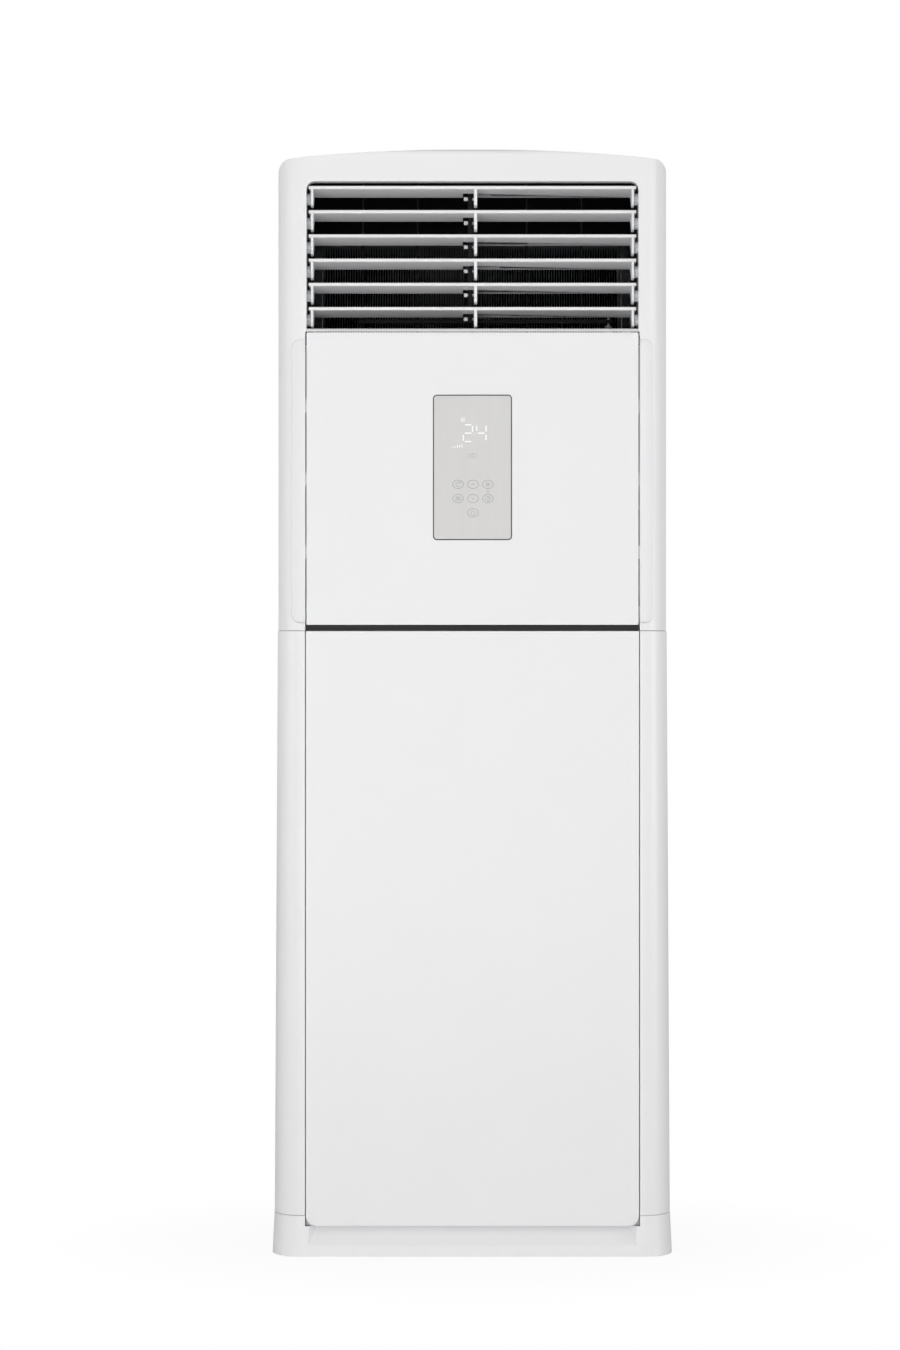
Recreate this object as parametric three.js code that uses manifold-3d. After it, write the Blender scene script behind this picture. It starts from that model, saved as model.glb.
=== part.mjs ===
// Floor standing cabinet air conditioner, as an assembly of separate pieces.
// Millimetres, +Z up, the front faces -Y, the origin is on the floor under the middle of the cabinet.
// The upper cabinet blows out through six ganged horizontal vanes and five ganged vertical vanes.
// The lower cabinet draws in through its two side grilles to a centrifugal fan.

import * as THREE from 'three';
import { mergeVertices } from 'three/addons/utils/BufferGeometryUtils.js';
import Module from 'manifold-3d';

const wasm = await Module();
wasm.setup();
const rad = THREE.MathUtils.degToRad;

// ---------------------------------------------------------------- driving dimensions

const FIT = 0.3;                 // gap between faces that seat on each other
const HEIGHT = 1700;             // floor to the top of the crown
const DEPTH = 380;               // front of the base to the back
const BODY_WIDTH = 600;          // upper cabinet
const UPPER_TALL = 739;          // upper cabinet from the middle seam to the crown
const BASE_SEAM = 63.7;          // seam between lower cabinet and base
const WALL = 3;                  // moulded walls
const SHEET = 1.2;               // pressed panels
const SEAM_GAP = 0.6;            // shadow gap at the seams
const CORNER_WIDE = 40;          // front corners turn on an oval, deeper than it is wide
const CORNER_DEEP = 60;
const CROWN_RISE = 16.28;        // rise of the crown's arch from its sides to its middle
const TOP_CORNER_R = 19;         // elevation radius of the top corners
const TOP_EDGE_R = 9;            // side view radius of the crown's front edge
const FRAME_DEPTH = 90;          // how far the front frame reaches round the sides
const COVER_TALL = 36;           // top cover from its seam to the crown
const FLANGE = 14;               // turned edges of the side panels
const PRESSING = 3;              // depth of the pressed fields in the back panel
const FIELD_MARGIN = 60;         // flat border round the pressed fields
const FIELD_R = 20;

const LOWER_STEP = 1;            // lower cabinet stands out this much at the middle seam
const LOWER_FLARE = 4.7;         // what each lower side gains down to the base seam
const BASE_STEP = 0.3;           // base stands out this much at its seam
const BASE_SLOPE = 3;            // what the base gains at its front and sides down to the floor
const FACE_SETBACK = 5;          // front faces behind the base's front at the floor

const COLUMN_FACE = 45.3;        // width of a column beside the discharge opening
const CROWN_FACE = 49.4;         // crown over the discharge opening
const OPENING_TALL = 230.6;      // discharge opening
const OPENING_R = 12;
const SILL_BEVEL = 4.6;          // bevel on the sill under the opening
const SILL_DEPTH = 9;

const PANEL_EDGE = 20;           // depth of the control panel's turned edges
const PANEL_SEAM = 1.4;          // shadow gap over the panel
const PANEL_GAP = 2;             // shadow gap beside the panel
const POCKET_FACE = 22;          // width of the column outside the recessed strip
const POCKET_INSET = 12;         // strip's top below the opening
const POCKET_FOOT = 11.6;        // strip's bottom over the middle seam
const POCKET_R = 13;
const POCKET_DEPTH = 10;
const CATCH_TALL = 20;           // catches behind the panel's sides
const CATCHES = 3;
const STRIP_HEIGHT = 8.3;        // glossy trim strip under the panel
const WINDOW_WIDTH = 120.7;      // display window
const WINDOW_HEIGHT = 222.6;
const WINDOW_DROP = 95.8;        // window's top below the panel's top
const WINDOW_R = 6;
const WINDOW_PROUD = 0.8;
const WINDOW_LIP = 4;

const DOOR_GAP = 1.4;            // gap between door and column
const DOOR_DROP = 15.7;          // door's bottom below the base seam
const DOOR_R = 15;
const DOOR_EDGE = 16;            // depth of the door's turned edges
const DOOR_RIBS = 3;
const RIB_TALL = 7;
const LEDGE = 12;                // ledge on the column behind the door's edge

const RECESS_LIP_Z = 18.4;       // sloping recess in the base under the door
const RECESS_DEPTH = 20;
const RECESS_BACK_IN = 15.5;     // its ends slope inwards to the back and to the lip
const RECESS_LIP_IN = 2.9;
const BASE_WALL = 4;
const BASE_LIFT = 1.5;           // skirt clear of the floor
const REAR_R = 6;                // rear corners of the base
const PAN_Z = 12;                // underside of the base pan
const PAN_FRONT = 38;
const PAN_RIM = 20;
const PAD_LONG = 26;             // pads in the skirt over the pan
const PAD_WIDE = 24;
const FOOT_R = 22;
const FOOT_STUD_R = 6;
const FOOT_PAD = 8;
const FOOT_IN_X = 64;            // feet in from the base's sides, front and back
const FOOT_IN_Y = 45;

const VANES = 6;                 // horizontal vanes
const TOP_PIVOT = 25.4;          // top vane's pivot below the opening's top
const LAST_PIVOT = 19.2;         // bottom vane's pivot over the opening's bottom
const VANE_PIVOT_BACK = 25;      // pivots behind the front face
const VANE_REST = -6.8;          // degrees, rear edge lower
const VANE_PLAY = 3.2;           // plate's end inside the opening's side
const VANE_AHEAD = 20;           // plate ahead of its pivot
const VANE_BEHIND = 55;          // plate behind its pivot
const VANE_RISE = 15;            // underside of the plate over its pivot
const VANE_PLATE = 2;
const VANE_BEAD = 5;             // height of the front bead
const RIB = 4;
const RIB_IN = 6.2;              // outer face of the end ribs inside the opening's side
const RIB_DROP = 12;             // ribs reach below the pivot
const CENTRE_RIB_X = 2.5;
const CENTRE_RIB = 4.7;
const PIN_R = 3;
const BOSS_R = 9;
const BOSS_IN = 5.4;             // boss face inside the opening's side
const SIDE_PLATE_OUT = 1.3;      // louvre side frames outside the opening's side
const SIDE_PLATE = 3;

const PEG_Y = 37;                // link peg, from the pivot in the vane's own frame
const PEG_Z = 9.3;
const PEG_R = 2.2;
const PEG_HEAD_R = 3.3;
const PEG_HEAD = 5.6;
const LINK_THICK = 6.6;          // vane link bar
const LINK_HALF = 4;
const LINK_END = 8;
const NOTCH_AHEAD = 10.4;        // notch in each plate for the link bar, ahead of the peg
const NOTCH_LEFT = 14.5;
const NOTCH_RIGHT = 1.6;

const DUCT_IN = 4.7;             // duct's inner face inside the opening's side
const DUCT_OVER = 19.4;          // duct's ceiling over the opening's top
const DUCT_UNDER = 4;            // duct's floor under the opening's bottom
const DUCT_WALL = 2.5;
const DUCT_FLANGE = 10;
const DUCT_BACK = 87;            // duct front behind the front face
const DUCT_DEPTH = 62;
const HOOD_LIP = 12;             // rear hood rests over the coil's top by this much

const FINGERS = 5;               // vertical vanes
const FINGER_THICK = 2;
const FINGER_AHEAD = 35;         // plate ahead of its hinge
const FINGER_BEHIND = 21;
const FINGER_END_GAP = 4;
const FINGER_CORNER = 6;
const FINGER_PIN_R = 2.5;
const PIN_ROOT = 6;              // how far a pin runs into its plate
const HINGE_IN_DUCT = 37;        // hinge line behind the duct's front
const LEVER = 29;                // swing link ahead of the hinge line
const SWING_LINK_Z = 24;         // swing link over the duct floor
const SWING_LINK_TALL = 6;
const SWING_LINK_HALF = 3;
const SWING_LINK_END = 8;
const SWING_NOTCH = 8;           // notch behind the link's pin
const SWING_PIN_R = 2;
const CRANK_IN = 38;             // crank inside the duct's side
const CRANK_STEP = 42;           // crank beyond the last vertical vane
const CRANK_THICK = 4;
const CRANK_GAP = 3;             // crank arm under the link
const CRANK_HUB = 5;
const CRANK_HUB_R = 6;
const MOTOR_R = 14;
const MOTOR_TALL = 20;
const MOTOR_EAR = 7;

const PARTITION_DROP = 21;       // partition under the middle seam
const PARTITION_LIP = 14;
const TRAY_HEIGHT = 58;          // drain tray
const TRAY_IN = 38;
const TRAY_FRONT = 35;           // tray behind the front face
const TRAY_DEPTH = 92;
const TRAY_WALL = 8;
const TRAY_FLOOR = 33;
const COIL_IN = 65;              // evaporator in from the cabinet's sides
const COIL_TOP_DROP = 140;       // evaporator's top under the crown
const COIL_THICK = 66;
const COIL_LEAN = 17;            // degrees, top leans back
const COIL_FOOT_BACK = 76;       // foot of the coil behind the front face
const FIN_PITCH = 18;
const FIN_GAP = 12;
const FIN_CUT = 56;
const FIN_MARGIN = 10;
const SHEET_EDGE = 5;            // tube sheet past the fin block
const BENDS = 6;                 // return bends on each tube sheet
const BEND_TURN = 28;            // degrees, bends lean to either side in turn
const BEND_R = 17;
const TUBE_R = 5;

const FAN_Z = 430;               // fan axis over the floor
const FAN_R = 150;
const FAN_EYE_R = 128;
const FAN_PLATE = 3;
const FAN_BLADES = 24;
const BLADE = 1.8;
const BLADE_SWEEP = 9;           // degrees from a blade's inner to its outer edge
const FAN_PLAY = 39;             // scroll deeper than the wheel
const FAN_OFFSET = 4;            // wheel behind the scroll's middle
const SHAFT_R = 6;
const HUB_R = 22;
const HUB_LONG = 40;
const NUT_LONG = 10;
const SCROLL_FRONT = 123;        // scroll behind the front face
const SCROLL_SPARE = 243;        // depth of the cabinet that the scroll leaves
const SCROLL_START_R = 172;
const SCROLL_END_R = 235;
const TONGUE_ANGLE = 35;
const SCROLL_WALL = 2.5;
const INLET_R = 122;
const INLET_LIP = 3;
const INLET_IN = 14;             // inlet ring reaches into the wheel's eye
const INLET_OUT = 13;            // and stands out of the scroll
const INLET_FLANGE = 22;
const FAN_MOTOR_R = 62;
const FAN_MOTOR_BELL = 54;
const FAN_MOTOR_LONG = 74;
const FAN_MOTOR_STEP = 10;
const MOTOR_GAP = 1;             // motor behind the scroll
const MOTOR_NOSE_R = 18;
const MOTOR_NOSE = 8;
const MOTOR_BORE = 45;
const BRACKET_HALF = 120;
const BRACKET_DEPTH = 25;

const GRILLE_DROP = 68;          // side intake under the middle seam
const GRILLE_UP = 196.3;         // and over the base seam
const GRILLE_FRONT = 110;        // intake behind the front face
const GRILLE_BACK = 40;          // and before the back
const GRILLE_PROUD = 0.6;
const GRILLE_THICK = 9;
const GRILLE_RIM = 9;
const STAY = 6;
const SLATS = 16;
const SLAT_TALL = 14;
const FILTER_THICK = 5;
const FILTER_EDGE = 3;
const FILTER_SKIN = 1.5;
const FILTER_ROWS = 6;
const FILTER_COLS = 3;

const BOX_HALF = 190;            // electric box
const BOX_TALL = 230;
const BOX_HANG = 20;
const BOX_DEPTH = 56;
const BOX_BACK = 26;             // box front behind the front face
const BOX_SLOTS = 6;
const SLOT_PITCH = 14;
const SLOT_WIDE = 6;
const TERMINALS = 5;
const TERMINAL_PITCH = 16;
const TERMINAL_TALL = 34;
const TERMINAL_DEPTH = 26;
const TERMINAL_IN = 40;          // terminal block in from the box's side
const TERMINAL_UP = 50;

const KNOCKOUT_R = 36;           // closed pipe knock-out and cable hole in the back panel
const KNOCKOUT_RIM = 3;
const KNOCKOUT_IN = 100;
const OUTLET_UP = 101;           // both over the base seam
const GROMMET_IN = 80;
const GROMMET_R = 14;
const PIPE_IN = 32;              // refrigerant pipes in from the cabinet's side
const PIPE_FIT = 0.6;
const PIPE_BEND = 15;
const PIPE_FALL = 60;
const SUCTION = { radius: 8, back: 45, rise: 164, tail: 175 };
const LIQUID = { radius: 5, back: 72, rise: 82, tail: 135 };

// ---------------------------------------------------------------- worked out from them

const MID_SEAM = HEIGHT - UPPER_TALL;         // seam between upper and lower cabinet
const BACK = DEPTH / 2;
const BASE_FRONT = -DEPTH / 2;
const FACE = BASE_FRONT + FACE_SETBACK;
const BODY_HALF = BODY_WIDTH / 2;
const CROWN_R = (BODY_HALF ** 2 + CROWN_RISE ** 2) / (2 * CROWN_RISE);
const LOWER_HALF = BODY_HALF + LOWER_STEP;
const BASE_HALF = LOWER_HALF + LOWER_FLARE + BASE_STEP + BASE_SLOPE;
const SPLIT = FACE + FRAME_DEPTH;             // front frame and columns end here, side panels begin
const BACK_SHEET_Y = BACK - SHEET;            // inner face of the back panel's flat border
const PANEL_BACK_Y = BACK_SHEET_Y - PRESSING; // and of its pressed fields
const COVER_SEAM = HEIGHT - COVER_TALL;       // top cover stands on the side panels here

const OPENING_HALF = BODY_HALF - COLUMN_FACE;
const OPENING_TOP = HEIGHT - CROWN_FACE;
const OPENING_BOTTOM = OPENING_TOP - OPENING_TALL;
const PANEL_TOP = OPENING_BOTTOM - PANEL_SEAM;
const PANEL_BOTTOM = MID_SEAM + SEAM_GAP / 2 + FIT + STRIP_HEIGHT;
const POCKET_HALF = BODY_HALF - POCKET_FACE;
const POCKET_TOP = OPENING_BOTTOM - POCKET_INSET;
const POCKET_BOTTOM = MID_SEAM + POCKET_FOOT;
const WINDOW_TOP = PANEL_TOP - WINDOW_DROP;
const DOOR_HALF = OPENING_HALF + 0.8;
const DOOR_TOP = MID_SEAM - SEAM_GAP;
const DOOR_BOTTOM = BASE_SEAM - DOOR_DROP;
const COLUMN_INNER = DOOR_HALF + DOOR_GAP;
const FOOT_X = BASE_HALF - FOOT_IN_X;
const FOOT_Y = DEPTH / 2 - FOOT_IN_Y;

const PIVOT_Y = FACE + VANE_PIVOT_BACK;
const VANE_PIVOT_Z = OPENING_TOP - TOP_PIVOT;
const VANE_PITCH = (OPENING_TALL - TOP_PIVOT - LAST_PIVOT) / (VANES - 1);
const VANE_HALF = OPENING_HALF - VANE_PLAY;
const RIB_OUTER = OPENING_HALF - RIB_IN;
const BOSS_FACE = OPENING_HALF - BOSS_IN;
const SIDE_PLATE_X = OPENING_HALF + SIDE_PLATE_OUT;
const DUCT_Y = FACE + DUCT_BACK;
const DUCT_HALF = OPENING_HALF - DUCT_IN;
const DUCT_TOP = OPENING_TOP + DUCT_OVER;
const DUCT_BOTTOM = OPENING_BOTTOM - DUCT_UNDER;
const HINGE_Y = DUCT_Y + HINGE_IN_DUCT;
const CRANK_X = DUCT_HALF - CRANK_IN;
const FIRST_FINGER = CRANK_STEP - CRANK_X;    // x of the first vertical vane; the last is its mirror
const FINGER_PITCH = -2 * FIRST_FINGER / (FINGERS - 1);

const PARTITION_Z = MID_SEAM - PARTITION_DROP;
const COIL_HALF = BODY_HALF - COIL_IN;
const TRAY_Z = PARTITION_Z + SHEET + FIT;
const COIL_FOOT_Z = TRAY_Z + TRAY_FLOOR + FIT + COIL_THICK / 2 * Math.sin(rad(COIL_LEAN));
const COIL_HEIGHT = (HEIGHT - COIL_TOP_DROP - COIL_FOOT_Z) / Math.cos(rad(COIL_LEAN));
const SCROLL_DEPTH = DEPTH - SCROLL_SPARE;
const FAN_WIDTH = SCROLL_DEPTH - FAN_PLAY;
const CHUTE_RIGHT = SCROLL_START_R * Math.cos(rad(TONGUE_ANGLE));
const GRILLE_TOP = MID_SEAM - GRILLE_DROP;
const GRILLE_BOTTOM = BASE_SEAM + GRILLE_UP;
const GRILLE_Y = FACE + GRILLE_FRONT;
const GRILLE_END = BACK - GRILLE_BACK;
const BOX_TOP = PARTITION_Z - BOX_HANG;
const BOX_BOTTOM = BOX_TOP - BOX_TALL;
const BOX_Y = FACE + BOX_BACK;
const PIPE_X = BODY_HALF - PIPE_IN;
const OUTLET_Z = BASE_SEAM + OUTLET_UP;

// ---------------------------------------------------------------- shapes and solids

/** A closed mesh as a solid for cutting and joining. */
function solid(geometry) {
  const bare = geometry.index ? geometry.toNonIndexed() : geometry.clone();
  bare.deleteAttribute('normal');
  bare.deleteAttribute('uv');
  const merged = mergeVertices(bare, 1e-4);
  return new wasm.Manifold(new wasm.Mesh({
    numProp: 3,
    vertProperties: Float32Array.from(merged.attributes.position.array),
    triVerts: Uint32Array.from(merged.index.array),
  }));
}

/** A solid as geometry for a mesh. */
function geometryOf(body) {
  const mesh = body.getMesh();
  const geometry = new THREE.BufferGeometry();
  geometry.setAttribute('position', new THREE.BufferAttribute(Float32Array.from(mesh.vertProperties), 3));
  geometry.setIndex(new THREE.BufferAttribute(Uint32Array.from(mesh.triVerts), 1));
  geometry.computeVertexNormals();
  return geometry;
}

function join(first, ...others) {
  return others.reduce((sum, other) => sum.add(other), first);
}

function cut(body, ...tools) {
  return tools.reduce((rest, tool) => rest.subtract(tool), body);
}

function outline(points) {
  return new THREE.Shape(points.map(([a, b]) => new THREE.Vector2(a, b)));
}

/** Points of an oval's arc, angles in degrees, both ends included. */
function oval(a, b, wide, tall, from, to, steps) {
  return Array.from({ length: steps + 1 }, (_, i) => {
    const angle = rad(from + (to - from) * i / steps);
    return [a + wide * Math.cos(angle), b + tall * Math.sin(angle)];
  });
}

/** Points of a round arc. */
function arc(a, b, radius, from, to, steps = 6) {
  return oval(a, b, radius, radius, from, to, steps);
}

function roundRect(a0, a1, b0, b1, r, steps = 4) {
  return [
    ...arc(a1 - r, b0 + r, r, -90, 0, steps),
    ...arc(a1 - r, b1 - r, r, 0, 90, steps),
    ...arc(a0 + r, b1 - r, r, 90, 180, steps),
    ...arc(a0 + r, b0 + r, r, 180, 270, steps),
  ];
}

function extruded(points, depth) {
  return new THREE.ExtrudeGeometry(outline(points), { depth, bevelEnabled: false });
}

/** Outline in plan (x, y), standing from z0 to z1. */
function standing(points, z0, z1) {
  return solid(extruded(points, z1 - z0).translate(0, 0, z0));
}

/** Outline in front view (x, z), reaching from y0 back to y1. */
function facing(points, y0, y1) {
  return solid(extruded(points, y1 - y0).rotateX(Math.PI / 2).translate(0, y1, 0));
}

/** Outline in side view (y, z), reaching from x0 to x1. */
function sideways(points, x0, x1) {
  return solid(extruded(points, x1 - x0).rotateX(Math.PI / 2).rotateZ(Math.PI / 2).translate(x0, 0, 0));
}

function block(x0, x1, y0, y1, z0, z1) {
  const [left, right] = [Math.min(x0, x1), Math.max(x0, x1)];
  const box = new THREE.BoxGeometry(right - left, y1 - y0, z1 - z0);
  return solid(box.translate((left + right) / 2, (y0 + y1) / 2, (z0 + z1) / 2));
}

function rodX(r, x0, x1, y, z, sides = 12) {
  const [left, right] = [Math.min(x0, x1), Math.max(x0, x1)];
  const rod = new THREE.CylinderGeometry(r, r, right - left, sides).rotateZ(Math.PI / 2);
  return solid(rod.translate((left + right) / 2, y, z));
}

function rodY(r, y0, y1, x, z, sides = 24) {
  return solid(new THREE.CylinderGeometry(r, r, y1 - y0, sides).translate(x, (y0 + y1) / 2, z));
}

function rodZ(r, z0, z1, x, y, sides = 12) {
  const rod = new THREE.CylinderGeometry(r, r, z1 - z0, sides).rotateX(Math.PI / 2);
  return solid(rod.translate(x, y, (z0 + z1) / 2));
}

/** A closed body between two outlines of as many points, one over the other. */
function loft(low, z0, high, z1) {
  const count = low.length;
  const position = [...low.map(([x, y]) => [x, y, z0]), ...high.map(([x, y]) => [x, y, z1])].flat();
  const faces = THREE.ShapeUtils.triangulateShape(low.map(([x, y]) => new THREE.Vector2(x, y)), []);
  const index = [];
  for (const [a, b, c] of faces) index.push(a, c, b, a + count, b + count, c + count);
  for (let i = 0; i < count; i += 1) {
    const next = (i + 1) % count;
    index.push(i, next, next + count, i, next + count, i + count);
  }
  const geometry = new THREE.BufferGeometry();
  geometry.setAttribute('position', new THREE.Float32BufferAttribute(position, 3));
  geometry.setIndex(index);
  return solid(geometry);
}

/** An outline mirrored for the left side, kept counter-clockwise. */
function handed(points, side) {
  return side > 0 ? points : points.map(([x, y]) => [-x, y]).reverse();
}

/** Moves a solid's vertices one by one. */
function reshape(body, move) {
  const geometry = geometryOf(body);
  const position = geometry.attributes.position;
  const point = new THREE.Vector3();
  for (let i = 0; i < position.count; i += 1) {
    point.fromBufferAttribute(position, i);
    move(point);
    position.setXYZ(i, point.x, point.y, point.z);
  }
  return solid(geometry);
}

/** How far the lower cabinet's side stands out at a height, from the middle seam down. */
function flareAt(z) {
  return LOWER_FLARE * (MID_SEAM - z) / (MID_SEAM - BASE_SEAM);
}

// ---------------------------------------------------------------- materials and the assembly

function finish(color, roughness, metalness = 0) {
  return new THREE.MeshStandardMaterial({ color, roughness, metalness });
}

const whitePlastic = finish(0xeceeef, 0.38);
const whiteSteel = finish(0xe9ebec, 0.42, 0.1);
const palePlastic = finish(0xcfd2d3, 0.5);
const blackPlastic = finish(0x141516, 0.45);
const glossBlack = finish(0x0b0c0d, 0.08);
const silverPlate = finish(0xc9cbcc, 0.32, 0.6);
const zincSteel = finish(0xa9adb0, 0.4, 0.8);
const aluminium = finish(0xb9bcbe, 0.35, 0.9);
const copper = finish(0xb87345, 0.35, 0.95);
const whiteFoam = finish(0xe6e6e2, 0.9);
const greyNylon = finish(0x6f7477, 0.6);
const rubber = finish(0x1d1d1e, 0.8);

const airConditioner = new THREE.Group();

/** Adds a named piece to the cabinet, or to a group inside it. */
function piece(name, body, material, parent = airConditioner) {
  const mesh = new THREE.Mesh(geometryOf(body), material);
  mesh.name = name;
  parent.add(mesh);
  return mesh;
}

function sideName(side) {
  return side > 0 ? 'right' : 'left';
}

// ---------------------------------------------------------------- upper cabinet

/** Front view of the upper cabinet: straight sides, rounded corners, arched crown. */
function crownOutline(inset, bottom) {
  const half = BODY_HALF - inset;
  const corner = TOP_CORNER_R - inset;
  const arch = CROWN_R - inset;
  const centreZ = HEIGHT - CROWN_R;
  const reach = half - corner;
  const span = THREE.MathUtils.radToDeg(Math.asin(reach / arch));
  const shoulder = centreZ + Math.sqrt(arch * arch - reach * reach);
  return [
    [-half, bottom],
    [half, bottom],
    ...arc(reach, shoulder - corner, corner, 0, 90 - span, 5),
    ...arc(0, centreZ, arch, 90 - span, 90 + span, 14).slice(1, -1),
    ...arc(-reach, shoulder - corner, corner, 90 + span, 180, 5),
  ];
}

/** Plan of the cabinet's front, with rounded corners, open-ended at the back. */
function frontPlan(half, inset, back) {
  const wide = CORNER_WIDE - inset;
  const deep = CORNER_DEEP - inset;
  const side = half - inset;
  const front = FACE + inset;
  return [
    ...oval(-side + wide, front + deep, wide, deep, 180, 270, 8),
    ...oval(side - wide, front + deep, wide, deep, 270, 360, 8),
    [side, back],
    [-side, back],
  ];
}

/** Side view of the crown: its front edge is eased. */
function crownSide(inset) {
  const front = FACE + inset;
  const top = HEIGHT - inset;
  const r = TOP_EDGE_R - inset;
  return [
    [front, MID_SEAM - 10],
    [BACK + 10, MID_SEAM - 10],
    [BACK + 10, top],
    ...arc(front + r, top - r, r, 90, 180, 5),
  ];
}

function upperFrontFrame() {
  const bottom = MID_SEAM + SEAM_GAP / 2;
  const outer = standing(frontPlan(BODY_HALF, 0, SPLIT), MID_SEAM - 5, HEIGHT + 5)
    .intersect(facing(crownOutline(0, bottom), FACE - 5, SPLIT + 5))
    .intersect(sideways(crownSide(0), -BODY_WIDTH, BODY_WIDTH));
  const hollow = standing(frontPlan(BODY_HALF, WALL, SPLIT + 10), MID_SEAM - 20, HEIGHT + 5)
    .intersect(facing(crownOutline(WALL, bottom - 10), FACE - 5, SPLIT + 15))
    .intersect(sideways(crownSide(WALL), -BODY_WIDTH, BODY_WIDTH));
  const opening = roundRect(-OPENING_HALF, OPENING_HALF, OPENING_BOTTOM - 60, OPENING_TOP, OPENING_R);
  const panelHole = OPENING_HALF + PANEL_GAP;
  const pocket = roundRect(-POCKET_HALF, POCKET_HALF, POCKET_BOTTOM, POCKET_TOP, POCKET_R, 5);
  const tub = roundRect(-POCKET_HALF - WALL, POCKET_HALF + WALL, POCKET_BOTTOM - WALL, POCKET_TOP + WALL,
    POCKET_R + WALL, 5);
  const through = [[-panelHole, bottom - 20], [panelHole, bottom - 20], [panelHole, OPENING_BOTTOM],
    [-panelHole, OPENING_BOTTOM]];
  const sill = sideways([
    [FACE, OPENING_BOTTOM],
    [FACE + SILL_DEPTH, OPENING_BOTTOM],
    [FACE + SILL_DEPTH, OPENING_BOTTOM + SILL_BEVEL],
    [FACE + SILL_BEVEL, OPENING_BOTTOM + SILL_BEVEL],
    [FACE, OPENING_BOTTOM + SILL_BEVEL / 4],
  ], FIT - SIDE_PLATE_X, SIDE_PLATE_X - FIT);
  const shell = cut(outer, hollow, facing(opening, FACE - 5, FACE + 2 * WALL));
  const body = join(shell, facing(tub, FACE + WALL / 2, FACE + POCKET_DEPTH + WALL).intersect(outer));
  return join(cut(body,
    facing(pocket, FACE - 5, FACE + POCKET_DEPTH),
    facing(through, FACE - 5, FACE + POCKET_DEPTH + 2 * WALL)), sill);
}

function topCover() {
  const front = SPLIT + FIT;
  const outer = facing(crownOutline(0, COVER_SEAM + FIT), front, BACK);
  const hollow = facing(crownOutline(WALL, COVER_SEAM - 10), front - 10, BACK - WALL);
  return cut(outer, hollow);
}

function upperSidePanel(side) {
  const plan = [
    [BODY_HALF - FLANGE, SPLIT + FIT],
    [BODY_HALF, SPLIT + FIT],
    [BODY_HALF, BACK_SHEET_Y - FIT],
    [BODY_HALF - FLANGE, BACK_SHEET_Y - FIT],
    [BODY_HALF - FLANGE, BACK_SHEET_Y - FIT - SHEET],
    [BODY_HALF - SHEET, BACK_SHEET_Y - FIT - SHEET],
    [BODY_HALF - SHEET, SPLIT + FIT + SHEET],
    [BODY_HALF - FLANGE, SPLIT + FIT + SHEET],
  ];
  return standing(handed(plan, side), MID_SEAM + SEAM_GAP / 2, COVER_SEAM);
}

/** Back panel of pressed sheet, with three stiffening fields, a closed pipe knock-out and a cable hole. */
function backPanel() {
  const front = BACK_SHEET_Y;
  const top = COVER_SEAM - FIT;
  const sheet = facing([
    [-LOWER_HALF - flareAt(BASE_SEAM), BASE_SEAM + FIT],
    [LOWER_HALF + flareAt(BASE_SEAM), BASE_SEAM + FIT],
    [LOWER_HALF, MID_SEAM],
    [BODY_HALF, MID_SEAM],
    [BODY_HALF, top],
    [-BODY_HALF, top],
    [-BODY_HALF, MID_SEAM],
    [-LOWER_HALF, MID_SEAM],
  ], front, BACK);
  const press = PRESSING;
  let panel = sheet;
  for (const [low, high] of [
    [OUTLET_Z + 2 * KNOCKOUT_R, FAN_Z + 200],
    [FAN_Z + 260, MID_SEAM + 30],
    [MID_SEAM + 90, top - FIELD_MARGIN],
  ]) {
    const half = BODY_HALF - FIELD_MARGIN;
    const field = roundRect(-half, half, low, high, FIELD_R, 2);
    const dished = roundRect(-half + WALL, half - WALL, low + WALL, high - WALL, FIELD_R - WALL, 2);
    panel = join(panel, facing(field, front - press, BACK));
    panel = cut(panel, facing(dished, BACK - press, BACK + 5));
  }
  const knockX = BODY_HALF - KNOCKOUT_IN;
  const knock = cut(
    rodY(KNOCKOUT_R, BACK - SHEET / 2, BACK + 5, knockX, OUTLET_Z, 20),
    rodY(KNOCKOUT_R - KNOCKOUT_RIM, BACK - SHEET - 5, BACK + 10, knockX, OUTLET_Z, 20));
  const cable = rodY(GROMMET_R, front - 10, BACK + 10, GROMMET_IN - BODY_HALF, OUTLET_Z, 16);
  return cut(panel, knock, cable);
}

function cableGrommet() {
  const x = GROMMET_IN - BODY_HALF;
  const ring = rodY(GROMMET_R - FIT, BACK_SHEET_Y - SHEET, BACK - FIT, x, OUTLET_Z, 16);
  return cut(ring, rodY(GROMMET_R / 2, BACK_SHEET_Y - 10, BACK + 10, x, OUTLET_Z, 12));
}

// ---------------------------------------------------------------- control panel

function controlPanel() {
  const half = OPENING_HALF;
  const outer = facing(roundRect(-half, half, PANEL_BOTTOM, PANEL_TOP, 2, 2), FACE, FACE + PANEL_EDGE);
  const hollow = block(-half + WALL, half - WALL, FACE + WALL, FACE + PANEL_EDGE + 5,
    PANEL_BOTTOM + WALL, PANEL_TOP - WALL);
  const hole = roundRect(-WINDOW_WIDTH / 2 - FIT, WINDOW_WIDTH / 2 + FIT,
    WINDOW_TOP - WINDOW_HEIGHT - FIT, WINDOW_TOP + FIT, WINDOW_R);
  const catches = [-1, 1].flatMap((side) => Array.from({ length: CATCHES }, (_, row) => {
    const z = PANEL_BOTTOM + (row + 1) * (PANEL_TOP - PANEL_BOTTOM) / (CATCHES + 1);
    const hook = FACE + POCKET_DEPTH + WALL + FIT;
    return block(side * (half - 1), side * (half + PANEL_GAP + 4), hook, FACE + PANEL_EDGE,
      z - CATCH_TALL / 2, z + CATCH_TALL / 2);
  }));
  return join(cut(outer, hollow, facing(hole, FACE - 5, FACE + 2 * WALL)), ...catches);
}

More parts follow.
